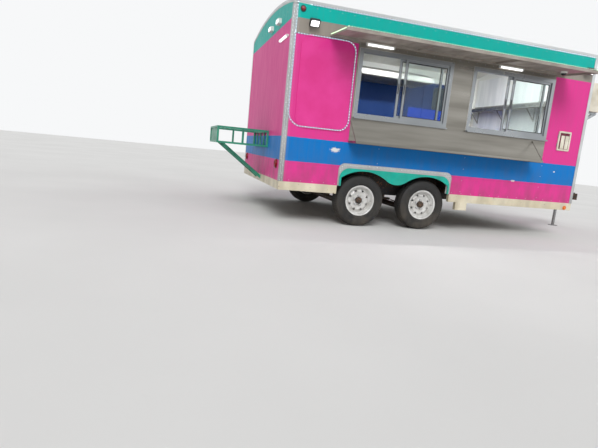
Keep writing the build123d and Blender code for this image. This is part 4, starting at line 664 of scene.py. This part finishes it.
# Wheels: tyres, nuts on their washers, hub caps and valves
NUT_CIRCLE = 0.058
for wheel in WHEELS:
    body = f"wheel_{wheel}"
    tyre(f"tyre_{wheel}", body)
    low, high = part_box(f"tyre_{wheel}")
    hub = (low + high) / 2
    out = Vector((0, -1 if wheel.endswith("right") else 1, 0))
    shape = bmesh.new()
    for angle in (number * FULL_TURN / 5 for number in range(5)):
        spot = hub + out * 0.024 + NUT_CIRCLE * Vector((math.sin(angle), 0, math.cos(angle)))
        stud(shape, spot, spot + out * 0.02, 0.0135, 0.012, 6)
        stud(shape, spot, spot + out * 0.003, 0.014, 0.014, 16)
    piece(f"wheel_nuts_{wheel}", shape, "zinc_steel", CHROME, body)
    shape = bmesh.new()
    stud(shape, hub + out * 0.02, hub + out * 0.067, 0.0405, 0.0385, 32)
    stud(shape, hub + out * 0.067, hub + out * 0.074, 0.0385, 0.029, 32)
    piece(f"hub_cap_{wheel}", shape, "dark_steel", body=body, edge=0.002)
    shape = bmesh.new()
    spot = hub + out * 0.03 + Vector((0.162, 0, 0))
    stud(shape, spot, spot + out * 0.028 - Vector((0.006, 0, 0)), 0.0045, 0.004)
    piece(f"tyre_valve_{wheel}", shape, "black_plastic", body=body)

# Inside: ceiling lamps that light the galley, each a diffuser under its tray
shape, trays = bmesh.new(), bmesh.new()
for x in (1.0, 2.3, 3.5):
    slab(shape, place(x - 0.45, -0.51, 2.545), place(x + 0.45, -0.39, 2.56))
    slab(trays, place(x - 0.47, -0.53, 2.56), place(x + 0.47, -0.37, 2.585))
piece("ceiling_diffusers", shape, "lamp_plastic", CEILING_LENS)
piece("ceiling_lamp_trays", trays, "case_enamel", edge=0.003)

# Flood lamps: a bright lens in a bezel, and fins behind. Half sizes of the lens and the bezel
LENS_X, LENS_Z, BEZEL_X, BEZEL_Z = 0.044, 0.03, 0.055, 0.04
FACE, BEZEL_FACE = -0.0215, -0.0275
tilt = Matrix.Rotation(math.radians(FLOOD_TILT), 3, "X")
lens, bezel, fins = bmesh.new(), bmesh.new(), bmesh.new()
for low, high in solids("flood_lamps"):
    centre = Vector(((low.x + high.x) / 2, SERVING - FLOOD_REACH, FLOOD_HEIGHT))
    for shape, parts in ((lens, [((-LENS_X, FACE - 0.003, -LENS_Z), (LENS_X, FACE, LENS_Z))]),
                         (bezel, [((-BEZEL_X, BEZEL_FACE, LENS_Z), (BEZEL_X, FACE, BEZEL_Z)),
                                  ((-BEZEL_X, BEZEL_FACE, -BEZEL_Z), (BEZEL_X, FACE, -LENS_Z)),
                                  ((-BEZEL_X, BEZEL_FACE, -LENS_Z), (-LENS_X, FACE, LENS_Z)),
                                  ((LENS_X, BEZEL_FACE, -LENS_Z), (BEZEL_X, FACE, LENS_Z))]),
                         (fins, [((-0.05 + n * 0.0125, 0.0225, -0.036), (-0.048 + n * 0.0125, 0.0335, 0.012))
                                 for n in range(9)])):
        for start, end in parts:
            verts = slab(shape, centre + Vector(start), centre + Vector(end))
            bmesh.ops.rotate(shape, cent=centre, matrix=tilt, verts=verts)
piece("flood_lenses", lens, "lamp_plastic", FLOOD_LENS)
piece("flood_bezels", bezel, "black_plastic", edge=0.0015)
piece("flood_fins", fins, "black_plastic")

# Clearance lamp on the fascia, and the small smoked dome under the canopy's front end
base, dome = bmesh.new(), bmesh.new()
spot = place(0.105, -HALF_WIDTH, 2.425)
stud(base, spot, spot + TO_SERVING * 0.008, 0.036, 0.033, 24)
ball(dome, spot + TO_SERVING * 0.007, (0.024, 0.014, 0.024))
piece("clearance_lamp_base", base, "black_plastic")
piece("clearance_lamp_lens", dome, "red_lens")
base, dome = bmesh.new(), bmesh.new()
spot = Vector((REAR + 3.577, SERVING - 0.185, 2.188))
stud(base, spot, spot - UP * 0.022, 0.045, 0.041, 28)
ball(dome, spot - UP * 0.021, (0.034, 0.034, 0.03))
piece("canopy_dome_base", base, "lamp_plastic")
piece("canopy_dome", dome, "black_plastic", SMOKED_DOME)

# Service hatch: a reveal floored with painted shade, a dark sheet for the recess's shadow, and a lid of two
# upright leaves
(low, high), = solids("service_hatch")
floor_y = low.y + 0.007
shape = bmesh.new()
# A dark maroon sheet over the recess floor: painted shade for the shadow in the reveal
slab(shape, (low.x + 0.022, floor_y - 0.0005, low.z + 0.022), (high.x - 0.022, floor_y, high.z - 0.022))
piece("hatch_reveal_painted_shade", shape, "black_plastic", HATCH_PAINTED_SHADE)
shape = bmesh.new()
# The leaves sit clear of the top and left edges, so the painted shade shows there as the recess's shadow
plates(shape, [((low.x + start, low.z + 0.026), (low.x + start + 0.058, high.z - 0.058))
               for start in (0.05, 0.12)], floor_y - 0.004, floor_y)
piece("hatch_leaves", shape, "case_enamel", edge=0.0015)
shape = bmesh.new()
for z in (low.z + 0.07, high.z - 0.07):
    pin = Vector((low.x - 0.004, low.y + 0.009, z))
    stud(shape, pin - UP * 0.02, pin + UP * 0.02, 0.005)
piece("hatch_hinges", shape, "zinc_steel")

# Windows: gaskets round the panes, latches and pulls on the sashes, a sealant bead round each frame
GASKET, GASKET_THICK = 0.007, 0.0035
gaskets, pulls, beads = bmesh.new(), bmesh.new(), bmesh.new()
for low, high in solids("window_glass"):
    bars = (((low.x, low.z), (high.x, low.z + GASKET)), ((low.x, high.z - GASKET), (high.x, high.z)),
            ((low.x, low.z), (low.x + GASKET, high.z)), ((high.x - GASKET, low.z), (high.x, high.z)))
    for side in (low.y - GASKET_THICK, high.y):
        plates(gaskets, bars, side, side + GASKET_THICK)
piece("window_gaskets", gaskets, "black_plastic")
for low, high in solids("window_sashes"):
    z = (low.z + high.z) / 2
    slab(pulls, (low.x + 0.006, low.y - 0.004, z - 0.06), (low.x + 0.018, low.y + 0.001, z + 0.06))
    slab(pulls, (low.x + 0.004, high.y - 0.001, z - 0.03), (low.x + 0.022, high.y + 0.005, z + 0.03))
piece("sash_pulls", pulls, "black_plastic", edge=0.0012)
for low, high in solids("window_frames"):
    flange = low.z + 0.016
    for start, end in (((low.x, high.z), (high.x, high.z)), ((low.x, flange), (low.x, high.z)),
                       ((high.x, flange), (high.x, high.z))):
        stud(beads, (start[0], SERVING - 0.004, start[1]), (end[0], SERVING - 0.004, end[1]), 0.0035, sides=8)
piece("window_sealant", beads, "case_enamel", SEALANT)

# Tube lamps: lit round covers and pale end caps. Box lamps on the rear wall: lit lenses
caps, covers = bmesh.new(), bmesh.new()
for low, high in solids("tube_lamps"):
    way, off = (0, 2) if high.x - low.x > high.y - low.y else (1, 0)
    middle, along = (low + high) / 2, Vector((0, 0, 0))
    middle[off] = low[off] + TUBE_RADIUS
    along[way] = (high[way] - low[way]) / 2
    stud(covers, middle - along, middle + along, TUBE_RADIUS + 0.0006, sides=24)
    for end in (low[way], high[way]):
        first, last = low - Vector((0.001, 0.001, 0.001)), high + Vector((0.001, 0.001, 0))
        first[way], last[way] = end - 0.01, end + 0.01
        slab(caps, first, last)
piece("tube_lamp_caps", caps, "lamp_plastic", edge=0.002)
piece("tube_lamp_covers", covers, "lamp_plastic", TUBE_COVER)
shape = bmesh.new()
for low, high in solids("rear_lamps"):
    slab(shape, (low.x - 0.003, low.y + 0.014, low.z + 0.012),
         (low.x + 0.001, high.y - 0.014, high.z - 0.012))
piece("rear_lamp_lenses", shape, "lamp_plastic", TUBE_COVER, edge=0.0012)

# Galley: a lining of upright sheets and a long shelf on the front wall
inner = FRONT - WALL_THICK
LINING_LOW, LINING_HIGH, SHEET_WIDE = 0.6, 2.44, 0.798
lining, covers = bmesh.new(), bmesh.new()
for start in (MIDDLE - 1.2, MIDDLE - 0.4, MIDDLE + 0.4):
    slab(lining, (inner - 0.0025, start, LINING_LOW), (inner - 0.0005, start + SHEET_WIDE, LINING_HIGH))
    if start > MIDDLE - 1:
        slab(covers, (inner - 0.006, start - 0.016, LINING_LOW), (inner - 0.0025, start + 0.014, LINING_HIGH))
piece("galley_lining", lining, "appliance_steel", LINING_WITH_PAINTED_REFLECTIONS)
piece("galley_cover_strips", covers, "appliance_steel", edge=0.001)
SHELF_DEEP, SHELF_HALF = 0.22, 1.2
shape = bmesh.new()
# The shelf's board, front lip and upstand: how far off the wall each starts and ends, and its heights
for start, end, low_z, high_z in (
        (SHELF_DEEP, 0.006, 1.872, 1.884), (SHELF_DEEP, SHELF_DEEP - 0.004, 1.845, 1.9),
        (0.01, 0.006, 1.884, 1.96)):
    slab(shape, (inner - start, MIDDLE - SHELF_HALF, low_z), (inner - end, MIDDLE + SHELF_HALF, high_z))
for y in (MIDDLE - 1.05, MIDDLE - 0.35, MIDDLE + 0.35, MIDDLE + 1.05):
    for start, end in (((0.21, 1.868), (0.02, 1.868)), ((0.02, 1.868), (0.02, 1.66)),
                       ((0.19, 1.864), (0.03, 1.68))):
        stud(shape, (inner - start[0], y, start[1]), (inner - end[0], y, end[1]), 0.008)
piece("galley_shelf", shape, "appliance_steel", edge=0.0015)

# Range: control knobs and fryer baskets
low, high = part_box("cook_line")
shape = bmesh.new()
for number in range(9):
    spot = Vector((low.x + 0.16 + number * 0.26, low.y, high.z - 0.09))
    stud(shape, spot, spot + TO_SERVING * 0.008, 0.03, 0.028, 20)
    stud(shape, spot + TO_SERVING * 0.008, spot + TO_SERVING * 0.03, 0.021, 0.018, 20)
piece("range_knobs", shape, "black_plastic", edge=0.0015)
BASKET_LONG, BASKET_INSET, BASKET_DEEP = 0.3, 0.12, 0.1
near, far, rim = low.y + BASKET_INSET, high.y - BASKET_INSET, high.z - 0.03
shape = bmesh.new()
for start in (high.x - 0.78, high.x - 0.4):
    end = start + BASKET_LONG
    ends = [Vector((x, y, rim)) for x, y in ((start, near), (end, near), (end, far), (start, far))]
    for a, b in zip(ends, ends[1:] + ends[:1]):
        stud(shape, a, b, 0.004, sides=6)
        stud(shape, a - UP * BASKET_DEEP, b - UP * BASKET_DEEP, 0.003, sides=6)
        stud(shape, a, a - UP * BASKET_DEEP, 0.003, sides=6)
    for x in (start + n * 0.025 for n in range(1, 12)):
        stud(shape, (x, near, rim - BASKET_DEEP), (x, far, rim - BASKET_DEEP), 0.0015, sides=4)
    handle = ends[0] + Vector((BASKET_LONG / 2, 0, 0))
    stud(shape, handle, handle + Vector((0, -0.2, 0.05)), 0.006, sides=8)
piece("fryer_baskets", shape, "zinc_steel", CHROME)

# Extractor hood: baffles along its low front
BAFFLE_PITCH = 0.05
low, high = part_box("hood")
shape = bmesh.new()
for number in range(int((high.x - low.x) / BAFFLE_PITCH)):
    x = low.x + 0.03 + number * BAFFLE_PITCH
    slab(shape, (x, low.y + 0.03, low.z - 0.012), (x + 0.03, low.y + 0.4, low.z))
piece("hood_baffles", shape, "appliance_steel")

# Door on the road side: a flat trim round its hole, and a stop rail that laps behind the leaf
TRIM, LAP, STOP_DEEP = 0.028, 0.02, 0.012
low, high = door_low, door_high
x0, x1, z0, z1 = low.x - DOOR_GAP, high.x + DOOR_GAP, low.z - DOOR_GAP, high.z + DOOR_GAP
shape = bmesh.new()
plates(shape, (((x0 - TRIM, z0 - TRIM), (x0, z1 + TRIM)), ((x1, z0 - TRIM), (x1 + TRIM, z1 + TRIM)),
               ((x0, z0 - TRIM), (x1, z0)), ((x0, z1), (x1, z1 + TRIM))), ROAD, ROAD + 0.0025)
piece("door_hole_trim", shape, "trim_aluminium", edge=0.0008)
shape = bmesh.new()
inner = ROAD - WALL_THICK
plates(shape, (((x0 - LAP, low.z), (x0, z1 + LAP)), ((x1, low.z), (x1 + LAP, z1 + LAP)),
               ((x0, z1), (x1, z1 + LAP))), inner - STOP_DEEP / 2, inner)
plates(shape, (((x0 - LAP, low.z), (x0 + LAP, z1)), ((x1 - LAP, low.z), (x1 + LAP, z1)),
               ((x0, z1 - LAP), (x1, z1 + LAP))), inner - STOP_DEEP, inner - STOP_DEEP / 2)
piece("door_stop_rail", shape, "wall_paint", edge=0.0015)

# A drip rail over the door, and the lock above its handle
shape = bmesh.new()
start, end = low.x - 0.06, high.x + 0.02
for near, far, bottom, top in ((0, 0.028, 0.04, 0.044), (0.025, 0.028, 0.03, 0.044), (0, 0.003, 0.04, 0.07)):
    slab(shape, (start, ROAD + near, high.z + bottom), (end, ROAD + far, high.z + top))
piece("door_drip_rail", shape, "trim_aluminium", edge=0.001)
plate_low, plate_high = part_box("door_handle")
shape = bmesh.new()
lock = Vector((plate_low.x + 0.028, ROAD, plate_high.z + 0.07))
stud(shape, lock, lock - TO_SERVING * 0.008, 0.026, 0.024, 28)
stud(shape, lock - TO_SERVING * 0.008, lock - TO_SERVING * 0.014, 0.012, 0.012, 20)
piece("door_lock", shape, "zinc_steel", body="entry_door", edge=0.001)

# A frame round the door's light: an outline with round corners, inset and thickened
EDGE = 0.018
low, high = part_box("door_glass")
shape = bmesh.new()
outer, reach = [], LIGHT_CORNER + EDGE
x0, x1 = low.x + LIGHT_CORNER, high.x - LIGHT_CORNER
z0, z1 = low.z + LIGHT_CORNER, high.z - LIGHT_CORNER
for x, z, first in ((x1, z1, 0), (x0, z1, 90), (x0, z0, 180), (x1, z0, 270)):
    for angle in (math.radians(first + step * 22.5) for step in range(5)):
        spot = (x + reach * math.cos(angle), ROAD + 0.001, z + reach * math.sin(angle))
        outer.append(shape.verts.new(spot))
ring = [shape.edges.new(pair) for pair in zip(outer, outer[1:] + outer[:1])]
bmesh.ops.edgeloop_fill(shape, edges=ring)
bmesh.ops.inset_region(shape, faces=shape.faces[:], thickness=EDGE + 0.003, use_boundary=True,
                       use_even_offset=True)
bmesh.ops.delete(shape, geom=[max(shape.faces, key=lambda f: f.calc_area())], context="FACES")
made = bmesh.ops.extrude_face_region(shape, geom=shape.faces[:])["geom"]
bmesh.ops.translate(shape, vec=(0, 0.006, 0), verts=[v for v in made if isinstance(v, bmesh.types.BMVert)])
piece("door_light_frame", shape, "black_plastic", body="entry_door", edge=0.0015)

# Air conditioner: rings and spokes of the fan guard, and louvres on both sides
low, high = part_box("cooler")
middle = (low + high) / 2
shape = bmesh.new()
WIRE = 0.0015
for radius in (number * 0.0215 for number in range(1, 8)):
    spot = Vector((high.x - 0.004, middle.y + radius, middle.z))
    corners = ((-WIRE, -WIRE), (WIRE, -WIRE), (WIRE, WIRE), (-WIRE, WIRE))
    swept(shape, [spot + Vector((dx, dy, 0)) for dx, dy in corners], (high.x, middle.y, middle.z),
          (1, 0, 0), 48, closed=True)
for angle in (number * math.pi / 4 for number in range(4)):
    reach = Vector((0, math.cos(angle), math.sin(angle))) * 0.156
    hub = Vector((high.x - 0.006, middle.y, middle.z))
    stud(shape, hub - reach, hub + reach, 0.002, sides=6)
piece("fan_guard", shape, "case_enamel")
shape = bmesh.new()
for near, far in ((low.y - 0.004, low.y), (high.y, high.y + 0.004)):
    for z in (low.z + 0.09 + number * 0.024 for number in range(10)):
        slab(shape, (low.x + 0.07, near, z), (high.x - 0.07, far, z + 0.009))
piece("cooler_louvres", shape, "case_enamel")

# Roof: folded seams across the arch
arch = (HALF_WIDTH ** 2 + ARCH_RISE ** 2) / (2 * ARCH_RISE)
sweep = 2 * math.asin((HALF_WIDTH - 0.03) / arch)
centre = Vector((0, MIDDLE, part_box("roof_edge_trim")[1].z - arch))
back = Matrix.Rotation(-sweep / 2, 3, "X")
FOLD = ((-0.014, 0), (-0.006, 0.0055), (0.006, 0.0055), (0.014, 0))
shape = bmesh.new()
for number in range(1, 4):
    top = Vector((REAR + number * LENGTH / 4, 0, arch - 0.001))
    outline = [centre + back @ (top + Vector((dx, 0, dz))) for dx, dz in FOLD]
    swept(shape, outline, centre, (1, 0, 0), 32, sweep)
piece("roof_seams", shape, "case_enamel", SEALANT)

# Tail lamps: rings in the round lenses
shape = bmesh.new()
for low, high in solids("tail_lamps"):
    middle = (low + high) / 2
    for radius in (0.012, 0.022, 0.032, 0.042):
        ridge = [Vector((low.x + dx, middle.y, middle.z + radius + dz))
                 for dx, dz in ((0.001, -0.002), (-0.0025, 0), (0.001, 0.002))]
        swept(shape, ridge, (low.x, middle.y, middle.z), (1, 0, 0), 40)
piece("tail_lamp_ribs", shape, "red_lens")

# Tongue: bolts through the coupler
shape = bmesh.new()
low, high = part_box("coupler")
for x in (low.x + 0.03, low.x + 0.09):
    for side in (-1, 1):
        spot = Vector((x, (low.y + high.y) / 2 + side * 0.038, (low.z + high.z) / 2 + 0.012))
        stud(shape, spot, spot + Vector((0, side * 0.009, 0)), 0.012, 0.011, 6)
piece("coupler_bolts", shape, "zinc_steel")

# Camera where the photograph was taken from
heading, pitch, roll = math.radians(16.26), math.radians(9.05), math.radians(5.6)
forward = Vector((math.sin(heading) * math.cos(pitch), math.cos(heading) * math.cos(pitch), -math.sin(pitch)))
level = Vector((math.cos(heading), -math.sin(heading), 0))
upright = level.cross(forward)
right = level * math.cos(roll) + upright * math.sin(roll)
top = upright * math.cos(roll) - level * math.sin(roll)
eye = bpy.data.cameras.new("camera")
eye.lens = 28.35
eye.sensor_width = 36
camera = bpy.data.objects.new("camera", eye)
bpy.context.scene.collection.objects.link(camera)
camera.matrix_world = Matrix.Translation((-3.778, -6.422, 0.89)) @ turned(right, top, -forward)
bpy.context.scene.camera = camera

# Pale studio: floor, soft key and fill lamps, even sky
ground = bmesh.new()
bmesh.ops.create_grid(ground, x_segments=1, y_segments=1, size=40)
mesh = bpy.data.meshes.new("floor")
ground.to_mesh(mesh)
ground.free()
floor = bpy.data.objects.new("floor", mesh)
bpy.context.scene.collection.objects.link(floor)
floor.data.materials.append(finish("pale_floor", ("#E2E1DF", "#DDDCDA"), 2.0, (0.8, 0.9)))
for name, strength, angle, turn in (("key", 1.85, 0.5, (52, 0, -20)), ("fill", 0.6, 1.2, (60, 0, 60))):
    lamp = bpy.data.lights.new(name, "SUN")
    lamp.energy = strength
    lamp.angle = angle
    held = bpy.data.objects.new(name, lamp)
    held.rotation_euler = [math.radians(a) for a in turn]
    bpy.context.scene.collection.objects.link(held)
world = bpy.data.worlds.new("studio")
bpy.context.scene.world = world
world.use_nodes = True
sky = world.node_tree
sky.nodes.clear()
path = add(sky, "ShaderNodeLightPath").outputs
seen = path["Is Camera Ray"]
for ray in ("Is Glossy Ray", "Is Transmission Ray"):
    seen = calc(sky, "MAXIMUM", seen, path[ray])
dim = add(sky, "ShaderNodeBackground", {"Color": linear("#F4F6F8"), "Strength": 0.5})
white = add(sky, "ShaderNodeBackground", {"Color": linear("#F7F8F9"), "Strength": 1.0})
mixed = add(sky, "ShaderNodeMixShader", {0: seen, 1: dim.outputs[0], 2: white.outputs[0]})
add(sky, "ShaderNodeOutputWorld", {"Surface": mixed.outputs[0]})
bpy.context.scene.view_settings.view_transform = "Standard"
